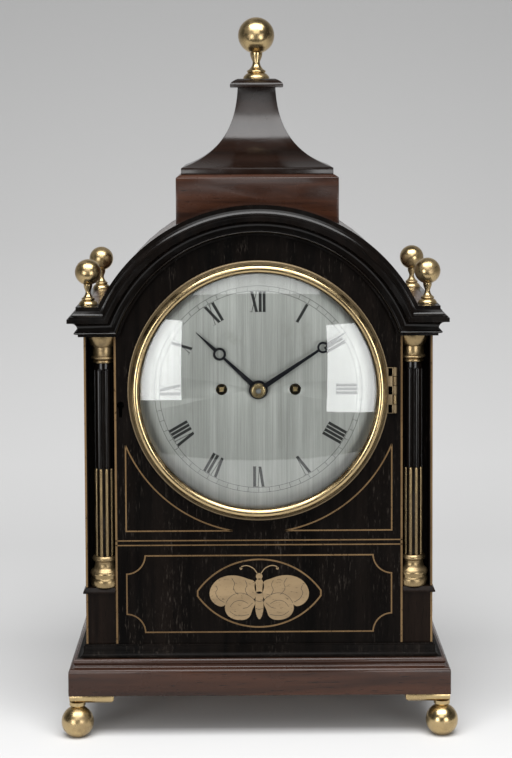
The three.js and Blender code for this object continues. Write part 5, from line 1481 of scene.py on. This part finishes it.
# %% [markdown]
# ## The nodes that stay
#
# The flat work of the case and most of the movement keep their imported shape. Each such node gets the
# finish of its material slot, which mostly has the slot's own name.

# %% Give the kept nodes their finishes
OTHER_NAMES = {"ebonised_wood": "ebonised", "inner_wood": "deal",
               "silvered_dial": "silvered", "glass": "clear_glass"}
slot_of = {part["node"]: part["material_slot"] for part in frame["record"]["subparts"]}
for node, thing in frame["nodes"].items():
    finish = OTHER_NAMES.get(slot_of[node], slot_of[node])
    for place in thing.material_slots:
        place.material = finishes[finish]
print("dressed", len(frame["nodes"]), "nodes")

# %% [markdown]
# ## Floor, light and the last lines
#
# The clock stands on a pale floor that curves up into a backdrop. Two large softboxes stand left and
# right of the camera, low enough to show in the convex glass, and a third one hangs above. The
# backdrop's grey is painted darker with height, a painted falloff of light. That colour is only in its
# own material, so the clock is lit at a plain level.

# %% Floor and backdrop
FLOOR_HALF, FLOOR_FRONT, TABLE_FRONT, FLOOR_BACK = 12.0, -10.0, -0.57, 10.0
BACKDROP_AT, BACKDROP_RISE, SWEEP_RADIUS = 1.5, 5, 0.9
sweep_start = BACKDROP_AT - SWEEP_RADIUS


def sheet_of_paper(name, front_end, back_end):
    """A flat sheet from one (depth, level) to another."""
    return placed(primitive("plane", name, size=1),
                  [(x, *end) for end in (front_end, back_end) for x in (-FLOOR_HALF, FLOOR_HALF)])


section = [(FLOOR_FRONT, 0), (sweep_start, 0)]
section += arc(sweep_start, SWEEP_RADIUS, SWEEP_RADIUS, -90, 0, 24)[1:]
section += [(BACKDROP_AT, BACKDROP_RISE)]
floor = sheet_of_paper("floor_and_backdrop", section[0], section[1])
for here, there in zip(section[1:], section[2:]):
    edit_all(floor, "EDGE")
    bpy.ops.mesh.select_all(action="DESELECT")
    leave_edit()
    for edge in floor.data.edges:
        ends = [floor.data.vertices[v].co for v in edge.vertices]
        edge.select = all(abs(end.y - here[0]) + abs(end.z - here[1]) < 1e-6 for end in ends)
    bpy.ops.object.mode_set(mode="EDIT")
    bpy.ops.mesh.extrude_region_move(
        TRANSFORM_OT_translate={"value": (0, there[0] - here[0], there[1] - here[1])})
    leave_edit()
tidy_normals(floor)
edit_all(floor, "FACE")
bpy.ops.mesh.flip_normals()
leave_edit()
smooth(floor, 60)

paper = Finish("studio_paper", Metallic=0, Roughness=0.9, Specular_IOR_Level=0.1)
height, depth = paper.along(2), paper.along(1)
FALLOFF_GREYS = ((0.0, 0.60), (0.30, 0.60), (0.62, 0.46), (1.0, 0.35))  # place on the fade, grey: a painted falloff of light with height and depth
stops = [(share, (grey, grey, grey)) for share, grey in FALLOFF_GREYS]
# The paper's grey is painted darker with height and depth, standing for the falloff of the light.
paper.colour(paper.node("ShaderNodeValToRGB", {"stops": stops}, {0: height * 0.75 + depth * 0.3}))
# A camera behind the backdrop looks through it, onto more floor. The floor in front of the table's
# edge is there for the camera alone, so that the glass and the polish mirror a dark room there.
behind = paper.node("ShaderNodeNewGeometry", output=6)
looked_at = paper.node("ShaderNodeLightPath", output=0)
table = depth.between(TABLE_FRONT - 0.001, TABLE_FRONT)
hidden = behind + (table * -1 + 1) * (looked_at * -1 + 1)
paper.surface(paper.node("ShaderNodeMixShader", None, {
    0: hidden, 1: Signal(paper, paper.shader.outputs["BSDF"]), 2: paper.node("ShaderNodeBsdfTransparent")}))
floor_behind = sheet_of_paper("floor_behind", (sweep_start, 0), (FLOOR_BACK, 0))
for sheet in (floor, floor_behind):
    sheet.data.materials.append(paper.material)
    sheet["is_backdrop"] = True
print("floor", len(floor.data.polygons), "faces")


# %% Lamps
def softbox(name, place, target, width, tall, watts):
    data = bpy.data.lights.new(name, "AREA")
    data.shape = "RECTANGLE"
    data.size, data.size_y, data.energy = width, tall, watts
    lamp = bpy.data.objects.new(name, data)
    bpy.context.collection.objects.link(lamp)
    lamp.location = place
    lamp.rotation_euler = (Vector(target) - Vector(place)).to_track_quat("-Z", "Y").to_euler()


LIT, HIGH_LIT = (0, 0, 0.30), (0, 0, 0.4)  # the points of the clock that the lamps face
ROOM_LIGHT, ROOM_MIRRORED = 0.3, 0.05
softbox("softbox_left", (-0.87, -1.47, 0.31), LIT, 0.62, 0.64, 8)
softbox("softbox_right", (0.83, -1.49, 0.24), LIT, 0.62, 0.70, 8)
softbox("softbox_over", (0, -1.55, 1.20), LIT, 1.1, 0.75, 6)
softbox("softbox_high", (0, -0.84, 1.86), HIGH_LIT, 2.2, 1.15, 60)

# The walls of the room are grey where they light the clock and dark where its polish mirrors them.
world = bpy.data.worlds.new("studio")
bpy.context.scene.world = world
world.use_nodes = True
room = world.node_tree.nodes
background = room["Background"]
background.inputs["Color"].default_value = (1, 1, 1, 1)
ray = room.new("ShaderNodeLightPath")
strength = room.new("ShaderNodeMapRange")
strength.inputs["To Min"].default_value = ROOM_LIGHT
strength.inputs["To Max"].default_value = ROOM_MIRRORED
world.node_tree.links.new(ray.outputs["Is Glossy Ray"], strength.inputs["Value"])
world.node_tree.links.new(strength.outputs["Result"], background.inputs["Strength"])
bpy.context.scene.view_settings.view_transform = "Standard"
print("lamps and world set")

# %% [markdown]
# ## The boxes
#
# The visual model has to stay inside the box of the imported model, so both boxes are written down.

# %% Write both boxes and finish
visual_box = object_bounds()
for name, box in (("cad", cad_box), ("visual", visual_box)):
    print(name, [round(value, 4) for corner in box for value in corner])
